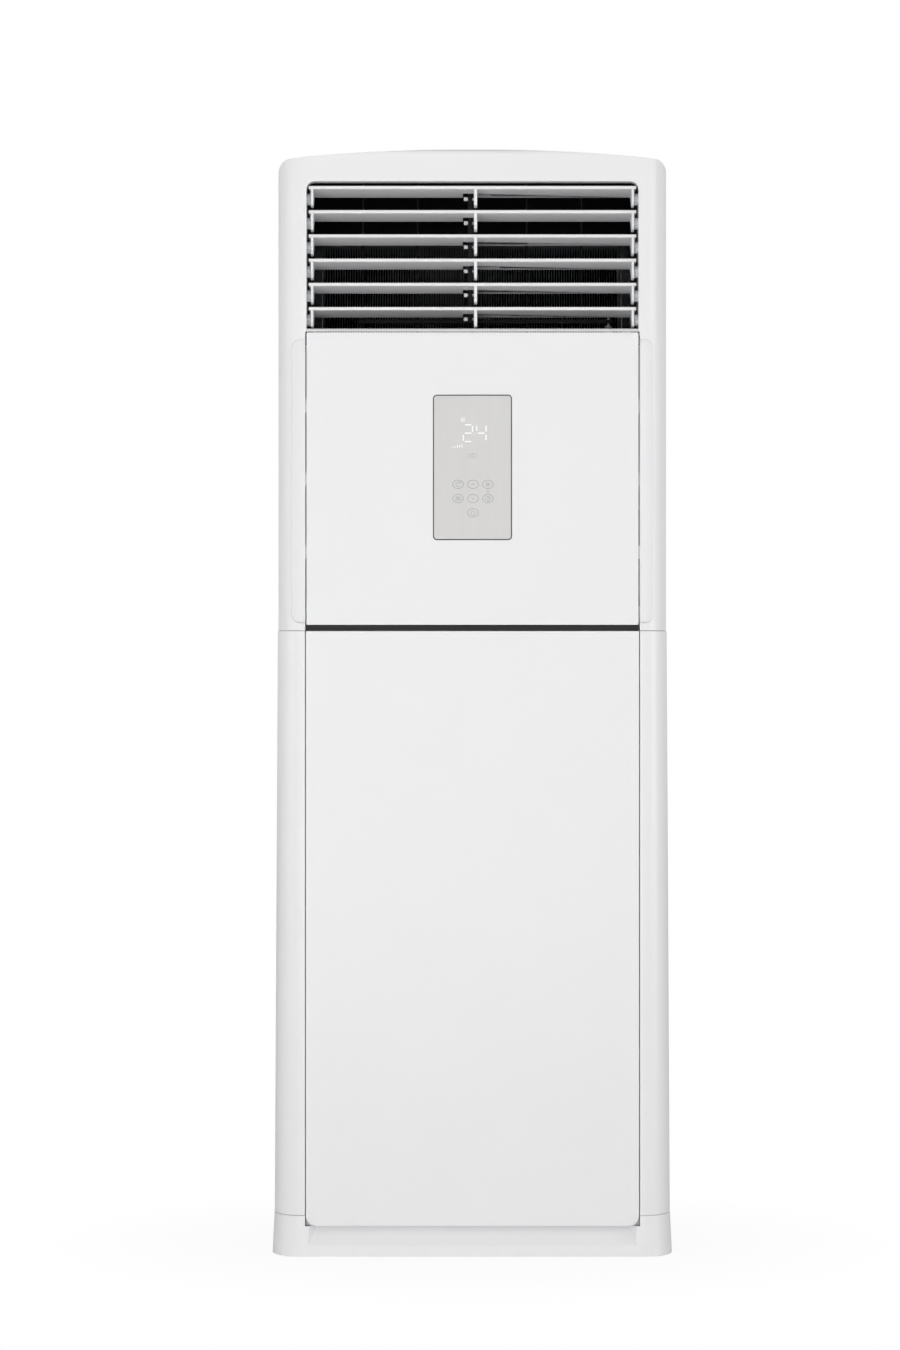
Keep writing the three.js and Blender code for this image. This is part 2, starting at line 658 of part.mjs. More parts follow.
function displayWindow() {
  const half = WINDOW_WIDTH / 2;
  const low = WINDOW_TOP - WINDOW_HEIGHT;
  const back = FACE + WALL + FIT;
  const plate = facing(roundRect(-half, half, low, WINDOW_TOP, WINDOW_R, 4),
    FACE - WINDOW_PROUD, back + WALL);
  const lip = facing(roundRect(-half - WINDOW_LIP, half + WINDOW_LIP, low - WINDOW_LIP,
    WINDOW_TOP + WINDOW_LIP, WINDOW_R, 3), back, back + WALL);
  return join(plate, lip);
}

function trimStrip() {
  const top = PANEL_BOTTOM - FIT;
  const bottom = top - STRIP_HEIGHT;
  return sideways([
    [FACE, bottom],
    [FACE + PANEL_EDGE, bottom],
    [FACE + PANEL_EDGE, top],
    [FACE + 2, top],
    [FACE, top - 2],
  ], -OPENING_HALF, OPENING_HALF);
}

// ---------------------------------------------------------------- lower cabinet

/** Column beside the door, with a ledge for the door's edge; its outer side leans out downwards. */
function lowerColumn(side) {
  const wide = CORNER_WIDE;
  const deep = CORNER_DEEP;
  const inner = COLUMN_INNER;
  const ledge = FACE + DOOR_EDGE;
  const plan = [
    [inner, FACE],
    ...oval(LOWER_HALF - wide, FACE + deep, wide, deep, 270, 360, 8),
    [LOWER_HALF, SPLIT],
    [LOWER_HALF - WALL, SPLIT],
    ...oval(LOWER_HALF - wide, FACE + deep, wide - WALL, deep - WALL, 360, 270, 8),
    [inner + WALL, FACE + WALL],
    [inner + WALL, ledge + WALL],
    [inner - LEDGE, ledge + WALL],
    [inner - LEDGE, ledge],
    [inner, ledge],
  ];
  const straight = standing(handed(plan, side), BASE_SEAM + FIT, MID_SEAM - SEAM_GAP / 2);
  return reshape(straight, (p) => {
    const share = (Math.abs(p.x) - inner - WALL) / (LOWER_HALF - inner - WALL);
    p.x += side * flareAt(p.z) * Math.max(share, 0);
  });
}

/** Shifts a piece of the lower side outwards with the side's lean. */
function leaning(body, side) {
  return reshape(body, (p) => {
    p.x += side * flareAt(p.z);
  });
}

function grilleWindow(side, clearance, x0, x1) {
  return block(side * x0, side * x1, GRILLE_Y - clearance, GRILLE_END + clearance,
    GRILLE_BOTTOM - clearance, GRILLE_TOP + clearance);
}

function lowerSidePanel(side) {
  const back = BACK_SHEET_Y - FIT;
  const plan = [
    [LOWER_HALF - FLANGE, SPLIT + FIT],
    [LOWER_HALF, SPLIT + FIT],
    [LOWER_HALF, back],
    [LOWER_HALF - FLANGE, back],
    [LOWER_HALF - FLANGE, back - SHEET],
    [LOWER_HALF - SHEET, back - SHEET],
    [LOWER_HALF - SHEET, SPLIT + FIT + SHEET],
    [LOWER_HALF - FLANGE, SPLIT + FIT + SHEET],
  ];
  const panel = standing(handed(plan, side), BASE_SEAM + FIT, MID_SEAM - SEAM_GAP / 2);
  const hole = grilleWindow(side, 0, LOWER_HALF - 6, LOWER_HALF + 5);
  return leaning(cut(panel, hole), side);
}

/** Side intake grille: a rim with level slats and one upright stay, which lifts out with its filter. */
function intakeGrille(side) {
  const outer = LOWER_HALF + GRILLE_PROUD;
  const inner = outer - GRILLE_THICK;
  const front = GRILLE_Y + GRILLE_RIM;
  const back = GRILLE_END - GRILLE_RIM;
  const low = GRILLE_BOTTOM + GRILLE_RIM;
  const pitch = (GRILLE_TOP - GRILLE_RIM - low) / SLATS;
  let grille = grilleWindow(side, -FIT, inner, outer);
  for (let i = 0; i < SLATS; i += 1) {
    const z = low + i * pitch;
    const top = z + pitch - SLAT_TALL;
    grille = cut(grille, block(side * (inner - 5), side * (outer + 5), front, back, z, top));
  }
  const middle = (front + back) / 2;
  const stay = block(side * inner, side * (inner + STAY / 2), middle - STAY / 2, middle + STAY / 2,
    low - 2, GRILLE_TOP - GRILLE_RIM + 2);
  return leaning(join(grille, stay), side);
}

function airFilter(side) {
  const outer = LOWER_HALF + GRILLE_PROUD - GRILLE_THICK - FIT;
  const inner = outer - FILTER_THICK;
  const front = GRILLE_Y + FILTER_EDGE;
  const back = GRILLE_END - FILTER_EDGE;
  const low = GRILLE_BOTTOM + FILTER_EDGE;
  const rowPitch = (GRILLE_TOP - FILTER_EDGE - low) / FILTER_ROWS;
  const colPitch = (back - front) / FILTER_COLS;
  let filter = block(side * inner, side * outer, front, back, low, GRILLE_TOP - FILTER_EDGE);
  for (let row = 0; row < FILTER_ROWS; row += 1) {
    for (let col = 0; col < FILTER_COLS; col += 1) {
      const y = front + col * colPitch;
      const z = low + row * rowPitch;
      const window = block(side * (inner - 5), side * (outer - FILTER_SKIN),
        y + FILTER_EDGE, y + colPitch - FILTER_EDGE, z + FILTER_EDGE, z + rowPitch - FILTER_EDGE);
      filter = cut(filter, window);
    }
  }
  return leaning(filter, side);
}

/** Lower door: a shallow tray with turned edges, cross ribs behind and hooks for the column ledges. */
function frontDoor() {
  const outer = roundRect(-DOOR_HALF, DOOR_HALF, DOOR_BOTTOM, DOOR_TOP + 30, DOOR_R, 6);
  const inner = roundRect(-DOOR_HALF + WALL, DOOR_HALF - WALL, DOOR_BOTTOM + WALL, DOOR_TOP - WALL,
    DOOR_R - WALL, 4);
  const edge = DOOR_EDGE - FIT;
  const top = block(-BODY_WIDTH, BODY_WIDTH, FACE - 10, FACE + 50, DOOR_TOP, DOOR_TOP + 60);
  const tray = cut(facing(outer, FACE, FACE + edge), facing(inner, FACE + WALL, FACE + 40), top);
  const ribs = Array.from({ length: DOOR_RIBS }, (_, i) => {
    const z = DOOR_BOTTOM + (i + 1) * (DOOR_TOP - DOOR_BOTTOM) / (DOOR_RIBS + 1);
    return block(-DOOR_HALF + 1, DOOR_HALF - 1, FACE + WALL - 1, FACE + WALL + RIB_TALL,
      z - WALL / 2, z + WALL / 2);
  });
  return join(tray, ...ribs);
}

// ---------------------------------------------------------------- base

/** Plan of the base at a height, drawn in by an inset. */
function basePlan(spread, inset) {
  const half = BASE_HALF - spread - inset;
  const front = BASE_FRONT + spread + inset;
  const wide = CORNER_WIDE - inset;
  const deep = CORNER_DEEP + FACE_SETBACK - inset;
  const back = BACK - inset;
  return [
    ...oval(-half + wide, front + deep, wide, deep, 180, 270, 8),
    ...oval(half - wide, front + deep, wide, deep, 270, 360, 8),
    ...arc(half - REAR_R, back - REAR_R, REAR_R, 0, 90, 2),
    ...arc(-half + REAR_R, back - REAR_R, REAR_R, 90, 180, 2),
  ];
}

/** The sloping recess: deep under the door, running out at its lip, with triangular ends. */
function baseRecess(grow) {
  const top = DOOR_BOTTOM + 1;
  const front = BASE_FRONT - FACE_SETBACK;
  const lip = DOOR_HALF - RECESS_LIP_IN + grow;
  const edge = DOOR_HALF + DOOR_GAP / 2 + grow;
  const back = DOOR_HALF - RECESS_BACK_IN + grow;
  const low = [
    [-lip, front],
    [lip, front],
    [lip - 1, BASE_FRONT + grow + 1],
    [-lip + 1, BASE_FRONT + grow + 1],
  ];
  const high = [
    [-edge, front],
    [edge, front],
    [back, BASE_FRONT + BASE_SLOPE + RECESS_DEPTH + grow],
    [-back, BASE_FRONT + BASE_SLOPE + RECESS_DEPTH + grow],
  ];
  return loft(low, RECESS_LIP_Z - grow, high, top);
}

/** Base skirt: a shell that spreads to the floor, cut away round the door, with four pads over the pan. */
function baseSkirt() {
  const outer = loft(basePlan(0, 0), BASE_LIFT, basePlan(BASE_SLOPE, 0), BASE_SEAM);
  const inner = loft(basePlan(0, BASE_WALL), BASE_LIFT - 1, basePlan(BASE_SLOPE, BASE_WALL), BASE_SEAM + 1);
  const edge = DOOR_HALF + DOOR_GAP;
  const doorway = block(-edge, edge, BASE_FRONT - 10, FACE + DOOR_EDGE + 30,
    DOOR_BOTTOM - FIT, BASE_SEAM + 20);
  const shell = cut(outer, cut(inner, baseRecess(BASE_WALL)), baseRecess(0), doorway);
  const pads = [-1, 1].flatMap((sx) => [-1, 1].map((sy) => {
    const x = sx * (BASE_HALF - BASE_SLOPE - BASE_WALL);
    const y = sy * FOOT_Y;
    const pad = block(x - sx * PAD_LONG, x + sx * BASE_WALL / 2, y - PAD_WIDE / 2, y + PAD_WIDE / 2,
      PAN_Z + SHEET + FIT, PAN_Z + PAD_WIDE);
    return pad.intersect(outer);
  }));
  return join(shell, ...pads);
}

function basePan() {
  const half = BASE_HALF - BASE_SLOPE - BASE_WALL - WALL;
  const front = BASE_FRONT + PAN_FRONT;
  const back = BACK - BASE_WALL - SHEET;
  const tray = block(-half, half, front, back, PAN_Z, PAN_Z + SHEET);
  const rim = FOOT_X - 2 * FOOT_R;
  const rimFront = block(-rim, rim, front, front + SHEET, PAN_Z, PAN_Z + PAN_RIM);
  const rimBack = block(-rim, rim, back - SHEET, back, PAN_Z, PAN_Z + PAN_RIM);
  return join(tray, rimFront, rimBack);
}

function levellingFoot(x, y) {
  const pad = rodZ(FOOT_R, 0, FOOT_PAD, x, y, 20);
  return join(pad, rodZ(FOOT_STUD_R, FOOT_PAD - 1, PAN_Z - FIT, x, y, 8));
}

// ---------------------------------------------------------------- outlet: vanes, links, duct

/** Side view of a vane rib round the pivot; the centre rib reaches further back to carry the link peg. */
function ribSide(central) {
  const under = VANE_RISE + VANE_PLATE / 2;
  const front = -VANE_AHEAD + 3;
  const heel = central
    ? [[PEG_Y + 6, PEG_Z - 6], [PEG_Y + 8, PEG_Z - 2], [PEG_Y + 8, under]]
    : [[VANE_BEHIND - 6, under]];
  return [
    [front, under],
    [front, -RIB_DROP + 5],
    [front + 5, -RIB_DROP],
    [6, -RIB_DROP],
    [14, -RIB_DROP + 5],
    ...heel,
  ];
}

/** Horizontal vane with its pivot at the origin: plate, front bead, three ribs, pins and link peg. */
function horizontalVane() {
  const top = VANE_RISE + VANE_PLATE;
  const plate = sideways([
    [-VANE_AHEAD, top - VANE_BEAD + 1.2],
    [-VANE_AHEAD + 1.2, top - VANE_BEAD],
    [-VANE_AHEAD + 4, top - VANE_BEAD],
    [-VANE_AHEAD + 6, VANE_RISE],
    [VANE_BEHIND, VANE_RISE + 0.6],
    [VANE_BEHIND, top],
    [-VANE_AHEAD + 1.2, top],
    [-VANE_AHEAD, top - 1.2],
  ], -VANE_HALF, VANE_HALF);
  const notch = block(-NOTCH_LEFT, NOTCH_RIGHT, PEG_Y - NOTCH_AHEAD, VANE_BEHIND + 5,
    VANE_RISE - 5, top + 5);
  const endRibs = [-1, 1].flatMap((side) => [
    sideways(ribSide(false), Math.min(side * RIB_OUTER, side * (RIB_OUTER - RIB)),
      Math.max(side * RIB_OUTER, side * (RIB_OUTER - RIB))),
    rodX(PIN_R, side * (RIB_OUTER - 1), side * (SIDE_PLATE_X + SIDE_PLATE - 0.5), 0, 0, 8),
  ]);
  const centre = sideways(ribSide(true), CENTRE_RIB_X, CENTRE_RIB_X + CENTRE_RIB);
  const headFrom = -LINK_THICK - 2 * FIT - 0.1;
  const peg = rodX(PEG_R, CENTRE_RIB_X + 1, headFrom - 1, PEG_Y, PEG_Z, 8);
  const head = rodX(PEG_HEAD_R, headFrom, headFrom - PEG_HEAD, PEG_Y, PEG_Z, 8);
  return join(cut(plate, notch), ...endRibs, centre, peg, head);
}

/** The upright bar that gangs the six vanes, drawn with the top peg at the origin. */
function vaneLinkBar() {
  const long = (VANES - 1) * VANE_PITCH;
  const right = -FIT / 2;
  const half = LINK_HALF;
  let bar = sideways([
    ...arc(0, -long - LINK_END + half, half, 180, 360, 4),
    ...arc(0, LINK_END - half, half, 0, 180, 4),
  ], right - LINK_THICK, right);
  for (let i = 0; i < VANES; i += 1) {
    bar = cut(bar, rodX(PEG_R + FIT, -LINK_THICK - 5, 5, 0, -i * VANE_PITCH, 8));
  }
  return bar;
}

/** Side frame that carries the vane pins in round bosses. */
function louvreFrame(side) {
  const front = FACE + WALL + FIT;
  const back = DUCT_Y - FIT;
  const low = DUCT_BOTTOM - DUCT_WALL;
  let frame = block(side * SIDE_PLATE_X, side * (SIDE_PLATE_X + SIDE_PLATE), front, back, low,
    DUCT_TOP + DUCT_WALL);
  for (let i = 0; i < VANES; i += 1) {
    const z = VANE_PIVOT_Z - i * VANE_PITCH;
    frame = join(frame, rodX(BOSS_R, side * BOSS_FACE, side * (SIDE_PLATE_X + 1), PIVOT_Y, z, 10));
    frame = cut(frame, rodX(PIN_R + FIT, side * (BOSS_FACE - 5), side * (SIDE_PLATE_X + SIDE_PLATE + 5),
      PIVOT_Y, z, 8));
  }
  return frame;
}

/** Duct behind the vanes: four walls, a front flange, holes for the vertical vanes and swing motor. */
function outletDuct() {
  const wall = DUCT_WALL;
  const half = DUCT_HALF;
  const rim = SIDE_PLATE_X + SIDE_PLATE + 3 - half;
  const outer = join(
    block(-half - wall, half + wall, DUCT_Y, DUCT_Y + DUCT_DEPTH, DUCT_BOTTOM - wall, DUCT_TOP + wall),
    block(-half - rim, half + rim, DUCT_Y, DUCT_Y + wall,
      DUCT_BOTTOM - DUCT_FLANGE, DUCT_TOP + DUCT_FLANGE));
  let duct = cut(outer, block(-half, half, DUCT_Y - 5, DUCT_Y + DUCT_DEPTH + 5, DUCT_BOTTOM, DUCT_TOP));
  duct = join(duct, ductHood());
  for (let i = 0; i < FINGERS; i += 1) {
    const x = FIRST_FINGER + i * FINGER_PITCH;
    duct = cut(duct, rodZ(FINGER_PIN_R + FIT, DUCT_BOTTOM - 20, DUCT_TOP + 20, x, HINGE_Y, 8));
  }
  return cut(duct, rodZ(FINGER_PIN_R + FIT, DUCT_BOTTOM - 20, DUCT_BOTTOM + 20, CRANK_X, HINGE_Y, 8));
}

/** Vertical vane in its own frame, hinge line at the origin over the duct floor. */
function verticalVane() {
  const low = FINGER_END_GAP;
  const high = DUCT_TOP - DUCT_BOTTOM - FINGER_END_GAP;
  const half = FINGER_THICK / 2;
  const notchLow = SWING_LINK_Z - SWING_LINK_HALF;
  const notchHigh = SWING_LINK_Z + SWING_LINK_TALL + SWING_LINK_HALF;
  const notchBack = -LEVER + SWING_NOTCH;
  const plate = sideways([
    [-FINGER_AHEAD + FINGER_CORNER, low],
    [FINGER_BEHIND, low],
    [FINGER_BEHIND, high],
    [-FINGER_AHEAD + FINGER_CORNER, high],
    [-FINGER_AHEAD, high - FINGER_CORNER],
    [-FINGER_AHEAD, notchHigh],
    [notchBack, notchHigh],
    [notchBack, notchLow],
    [-FINGER_AHEAD, notchLow],
    [-FINGER_AHEAD, low + FINGER_CORNER],
  ], -half, half);
  const pinLow = rodZ(FINGER_PIN_R, -DUCT_WALL, low + PIN_ROOT, 0, 0, 8);
  const pinHigh = rodZ(FINGER_PIN_R, high - PIN_ROOT, DUCT_TOP - DUCT_BOTTOM + DUCT_WALL, 0, 0, 8);
  const linkPin = rodZ(SWING_PIN_R, notchLow - PIN_ROOT, notchHigh - 1, 0, -LEVER, 8);
  return join(plate, pinLow, pinHigh, linkPin);
}

/** Bar that gangs the vertical vanes with the crank, drawn with the first vane's pin at the origin. */
function swingLinkBar() {
  const last = CRANK_X - FIRST_FINGER;
  const half = SWING_LINK_HALF;
  const plan = [
    ...arc(last + SWING_LINK_END - half, 0, half, -90, 90, 4),
    ...arc(-SWING_LINK_END + half, 0, half, 90, 270, 4),
  ];
  let bar = standing(plan, 0, SWING_LINK_TALL);
  for (let i = 0; i < FINGERS; i += 1) {
    bar = cut(bar, rodZ(SWING_PIN_R + FIT, -5, SWING_LINK_TALL + 5, i * FINGER_PITCH, 0, 8));
  }
  return cut(bar, rodZ(SWING_PIN_R + FIT, -5, SWING_LINK_TALL + 5, last, 0, 8));
}

/** Crank in its own frame, shaft at the origin over the duct floor. */
function swingCrank() {
  const low = SWING_LINK_Z - CRANK_GAP - CRANK_THICK;
  const arm = standing([
    ...arc(0, 0, CRANK_HUB_R, 0, 180, 6),
    ...arc(0, -LEVER, CRANK_THICK, 180, 360, 5),
  ], low, low + CRANK_THICK);
  const hub = rodZ(CRANK_HUB_R, low - CRANK_HUB, low + 1, 0, 0, 12);
  const pin = rodZ(SWING_PIN_R, low + 1, SWING_LINK_Z + SWING_LINK_TALL + SWING_PIN_R, 0, -LEVER, 8);
  return cut(join(arm, hub, pin), rodZ(FINGER_PIN_R + FIT, low - 10, low + CRANK_THICK / 2, 0, 0, 10));
}

/** Small geared motor under the duct floor, its shaft up through the floor. */
function swingMotor() {
  const top = DUCT_BOTTOM - DUCT_WALL - FIT;
  const body = rodZ(MOTOR_R, top - MOTOR_TALL, top, CRANK_X, HINGE_Y, 16);
  const ears = block(CRANK_X - MOTOR_R - MOTOR_EAR, CRANK_X + MOTOR_R + MOTOR_EAR, HINGE_Y - MOTOR_EAR / 2,
    HINGE_Y + MOTOR_EAR / 2, top - SHEET, top);
  const shaftTop = DUCT_BOTTOM + SWING_LINK_Z - CRANK_GAP - CRANK_THICK / 2 - FIT;
  return join(body, ears, rodZ(FINGER_PIN_R, top - 1, shaftTop, CRANK_X, HINGE_Y, 10));
}

// ---------------------------------------------------------------- evaporator and drain tray

/** Fin block in the coil's own frame, foot at the origin, with the gaps between its fins on both faces. */
/** Hood behind the duct: its roof falls to the coil's top and its cheeks close the sides. */
function ductHood() {
  const lean = rad(COIL_LEAN);
  const front = DUCT_Y + DUCT_DEPTH - DUCT_WALL;
  const topZ = COIL_FOOT_Z + FIT + COIL_THICK / 2 * Math.sin(lean)
    + (COIL_HEIGHT + SHEET_EDGE) * Math.cos(lean);
  const coilY = (z) => FACE + COIL_FOOT_BACK - COIL_THICK / 2 / Math.cos(lean)
    + (z - COIL_FOOT_Z) * Math.tan(lean) - DUCT_WALL;
  const topY = coilY(topZ);
  const roof = [
    [front, DUCT_TOP],
    [topY, topZ],
    [topY + HOOD_LIP, topZ],
    [topY + HOOD_LIP, topZ + DUCT_WALL],
    [topY, topZ + DUCT_WALL],
    [front, DUCT_TOP + DUCT_WALL],
  ];
  const cheek = [
    [front, DUCT_BOTTOM - DUCT_WALL],
    [coilY(DUCT_BOTTOM - DUCT_WALL), DUCT_BOTTOM - DUCT_WALL],
    [topY, topZ],
    [topY, topZ + DUCT_WALL],
    [front, DUCT_TOP + DUCT_WALL],
  ];
  const half = DUCT_HALF + DUCT_WALL;
  return join(sideways(roof, -half, half), sideways(cheek, -half, -DUCT_HALF),
    sideways(cheek, DUCT_HALF, half));
}

function evaporatorCoil() {
  const half = COIL_HALF;
  const thick = COIL_THICK / 2;
  let coil = block(-half, half, -thick, thick, 0, COIL_HEIGHT);
  const fins = Math.floor(2 * half / FIN_PITCH) - 1;
  const start = -(fins - 1) / 2 * FIN_PITCH;
  for (let i = 0; i < fins; i += 1) {
    const x = start + i * FIN_PITCH;
    coil = cut(coil, block(x - FIN_GAP / 2, x + FIN_GAP / 2, -thick - 5, -thick + FIN_CUT, FIN_MARGIN,
      COIL_HEIGHT - FIN_MARGIN));
  }
  return coil;
}

/** Tube sheet at one end of the coil, in the coil's frame, with its return bends. */
function tubeSheet(side) {
  const inner = COIL_HALF + FIT;
  const thick = COIL_THICK / 2;
  let body = block(side * inner, side * (inner + SHEET), -thick, thick, 0, COIL_HEIGHT + SHEET_EDGE);
  const pitch = COIL_HEIGHT / BENDS;
  for (let i = 0; i < BENDS; i += 1) {
    const bend = new THREE.TorusGeometry(BEND_R, TUBE_R, 6, 4, Math.PI);
    const z = pitch * (i + 0.5);
    const turn = i % 2 ? BEND_TURN : -BEND_TURN;
    const tube = solid(cappedBend(bend)).rotate([0, 0, -90 * side]).rotate([turn, 0, 0]);
    body = join(body, tube.translate([side * (inner + SHEET - 0.5), 0, z]));
  }
  return body;
}

/** Closes the two open ends of a half torus. */
function cappedBend(bend) {
  bend.deleteAttribute('normal');
  bend.deleteAttribute('uv');
  const merged = mergeVertices(bend, 1e-4);
  const position = merged.attributes.position;
  const index = Array.from(merged.index.array);
  const edges = new Map();
  for (let i = 0; i < index.length; i += 3) {
    for (let k = 0; k < 3; k += 1) {
      edges.set(`${index[i + k]}_${index[i + (k + 1) % 3]}`, [index[i + k], index[i + (k + 1) % 3]]);
    }
  }
  const lone = [...edges.values()].filter(([a, b]) => !edges.has(`${b}_${a}`));
  const open = new Map(lone.map(([a, b]) => [b, a]));
  while (open.size > 0) {
    const first = open.keys().next().value;
    const loop = [first];
    while (open.get(loop.at(-1)) !== first) loop.push(open.get(loop.at(-1)));
    loop.forEach((corner) => open.delete(corner));
    for (let i = 1; i + 1 < loop.length; i += 1) index.push(loop[0], loop[i], loop[i + 1]);
  }
  const closed = new THREE.BufferGeometry();
  closed.setAttribute('position', position);
  closed.setIndex(index);
  return closed;
}

/** Drain tray of moulded foam under the coil's foot. */
function drainTray() {
  const front = FACE + TRAY_FRONT;
  const low = TRAY_Z;
  const half = BODY_HALF - TRAY_IN;
  const tray = block(-half, half, front, front + TRAY_DEPTH, low, low + TRAY_HEIGHT);
  const basin = block(-half + TRAY_WALL, half - TRAY_WALL, front + TRAY_WALL,
    front + TRAY_DEPTH - TRAY_WALL, low + TRAY_FLOOR, low + TRAY_HEIGHT + 5);
  return cut(tray, basin);
}

// ---------------------------------------------------------------- fan, motor and electrics

/** Front view of the scroll round the fan axis: a growing spiral that runs up into the outlet chute. */
function scrollOutline(inset, top) {
  const steps = 20;
  const turn = 180 + TONGUE_ANGLE;
  const spiral = Array.from({ length: steps + 1 }, (_, i) => {
    const angle = rad(TONGUE_ANGLE - turn * i / steps);
    const r = SCROLL_START_R + (SCROLL_END_R - SCROLL_START_R) * i / steps - inset;
    return [r * Math.cos(angle), FAN_Z + r * Math.sin(angle)];
  });
  return [...spiral, [-SCROLL_END_R + inset, top], [CHUTE_RIGHT - inset, top]];
}

function fanScroll() {
  const front = FACE + SCROLL_FRONT;
  const back = front + SCROLL_DEPTH;
  const wall = SCROLL_WALL;
  const top = PARTITION_Z - FIT;
  const shell = cut(facing(scrollOutline(0, top), front, back),
    facing(scrollOutline(wall, top + 10), front + wall, back - wall));
  return cut(shell,
    rodY(INLET_R + 3 * INLET_LIP, front - 5, front + wall + 5, 0, FAN_Z, 24),
    rodY(FAN_MOTOR_R / 2, back - wall - 5, back + 5, 0, FAN_Z, 20));
}

/** Bell-mouthed inlet ring on the scroll's front. */
function inletRing() {
  const front = FACE + SCROLL_FRONT;
  const lip = INLET_LIP;
  const flange = INLET_R + INLET_FLANGE;
  const profile = [
    [INLET_R + lip, INLET_IN],
    [INLET_R, INLET_IN],
    [INLET_R, 0],
    [INLET_R + lip, 4 - INLET_OUT],
    [INLET_R + 3 * lip, -INLET_OUT],
    [INLET_R + 4 * lip, -INLET_OUT],
    [flange, -lip - FIT],
    [flange, -FIT],
    [INLET_R + 2 * lip, -FIT],
    [INLET_R + lip, lip],
    [INLET_R + lip, INLET_IN],
  ].map(([r, y]) => new THREE.Vector2(r, y));
  return solid(new THREE.LatheGeometry(profile, 20)).translate([0, front, 0]).translate([0, 0, FAN_Z]);
}

/** Centrifugal wheel round its own axis: hub, back disc, front ring and forward-curved blades. */
function fanWheel() {
  const front = -FAN_WIDTH / 2;
  const back = FAN_WIDTH / 2;
  const disc = rodY(FAN_R, back - FAN_PLATE, back, 0, 0, 36);
  const ring = cut(rodY(FAN_R, front, front + FAN_PLATE, 0, 0, 36),
    rodY(FAN_EYE_R, front - 5, front + 2 * FAN_PLATE, 0, 0, 36));
  const hub = rodY(HUB_R, back - HUB_LONG, back, 0, 0, 20);
  const inner = FAN_EYE_R + 1;
  const outer = FAN_R - 1;
  const steps = 3;
  const camber = (i) => {
    const share = i / steps;
    const r = inner + (outer - inner) * share;
    return [r, rad(BLADE_SWEEP * share * share)];
  };
  const edge = (offset) => Array.from({ length: steps + 1 }, (_, i) => {
    const [r, angle] = camber(i);
    return [r * Math.cos(angle), r * Math.sin(angle) + offset];
  });
  const section = [...edge(-BLADE / 2), ...edge(BLADE / 2).reverse()];
  const blade = facing(section, front + FAN_PLATE / 2, back - FAN_PLATE / 2);
  const blades = Array.from({ length: FAN_BLADES }, (_, i) => blade.rotate([0, 360 * i / FAN_BLADES, 0]));
  return cut(join(disc, ring, hub, ...blades), rodY(SHAFT_R + FIT, front, back + 5, 0, 0, 12));
}

function motorShaft(from, to) {
  return rodY(SHAFT_R, from, to, 0, 0, 12);
}

function hubNut(from, to) {
  return cut(rodY(HUB_R / 2, from, to, 0, 0, 6), rodY(SHAFT_R + FIT, from - 5, to + 5, 0, 0, 12));
}

/** Fan motor: finned can with end bells, blind bore for the shaft. */
function fanMotor(front) {
  const back = front + FAN_MOTOR_LONG;
  const can = rodY(FAN_MOTOR_R, front + FAN_MOTOR_STEP, back - FAN_MOTOR_STEP, 0, FAN_Z, 20);
  const bells = rodY(FAN_MOTOR_BELL, front, back, 0, FAN_Z, 20);
  const nose = rodY(MOTOR_NOSE_R, front - MOTOR_NOSE, front + WALL, 0, FAN_Z, 12);
  return cut(join(can, bells, nose), rodY(SHAFT_R + FIT, front - 20, front + MOTOR_BORE, 0, FAN_Z, 12));
}

/** Upright channel from the base pan to the partition that holds motor and scroll. */
function motorBracket(front) {
  const low = PAN_Z + SHEET + FIT;
  const high = PARTITION_Z - FIT;
  const half = BRACKET_HALF;
  return standing([
    [-half, front],
    [half, front],
    [half, front + BRACKET_DEPTH],
    [half - SHEET, front + BRACKET_DEPTH],
    [half - SHEET, front + SHEET],
    [-half + SHEET, front + SHEET],
    [-half + SHEET, front + BRACKET_DEPTH],
    [-half, front + BRACKET_DEPTH],
  ], low, high);
}

/** Partition between the fan and coil chambers, open over the scroll's chute and for the pipes. */
function partitionPlate(pipeHoles) {
  const half = LOWER_HALF - FLANGE - FIT;
  const front = FACE + DOOR_EDGE + 2 * WALL;
  const back = PANEL_BACK_Y - FIT - SHEET - FIT;
  const plate = block(-half, half, front, back, PARTITION_Z, PARTITION_Z + SHEET);
  const lip = block(-COLUMN_INNER + 2 * LEDGE, COLUMN_INNER - 2 * LEDGE, front, front + SHEET,
    PARTITION_Z - PARTITION_LIP, PARTITION_Z + SHEET / 2);
  const chuteFront = FACE + SCROLL_FRONT + SCROLL_WALL;
  const chute = block(-SCROLL_END_R + SCROLL_WALL,
    CHUTE_RIGHT - SCROLL_WALL,
    chuteFront, chuteFront + SCROLL_DEPTH - 2 * SCROLL_WALL, PARTITION_Z - 20, PARTITION_Z + 20);
  return cut(join(plate, lip), chute, ...pipeHoles);
}

/** Electric box behind the top of the door: an open tray hung from the partition. */
function electricBox() {
  const front = BOX_Y;
  const back = front + BOX_DEPTH;
  const box = block(-BOX_HALF, BOX_HALF, front, back, BOX_BOTTOM, BOX_TOP);
  const inside = block(-BOX_HALF + SHEET, BOX_HALF - SHEET, front - 5, back - SHEET,
    BOX_BOTTOM + SHEET, BOX_TOP - SHEET);
  const hanger = block(-BOX_HALF + BOX_HANG, BOX_HALF - BOX_HANG, back - SHEET, back, BOX_TOP - SHEET,
    PARTITION_Z - FIT);
  return join(cut(box, inside), hanger);
}

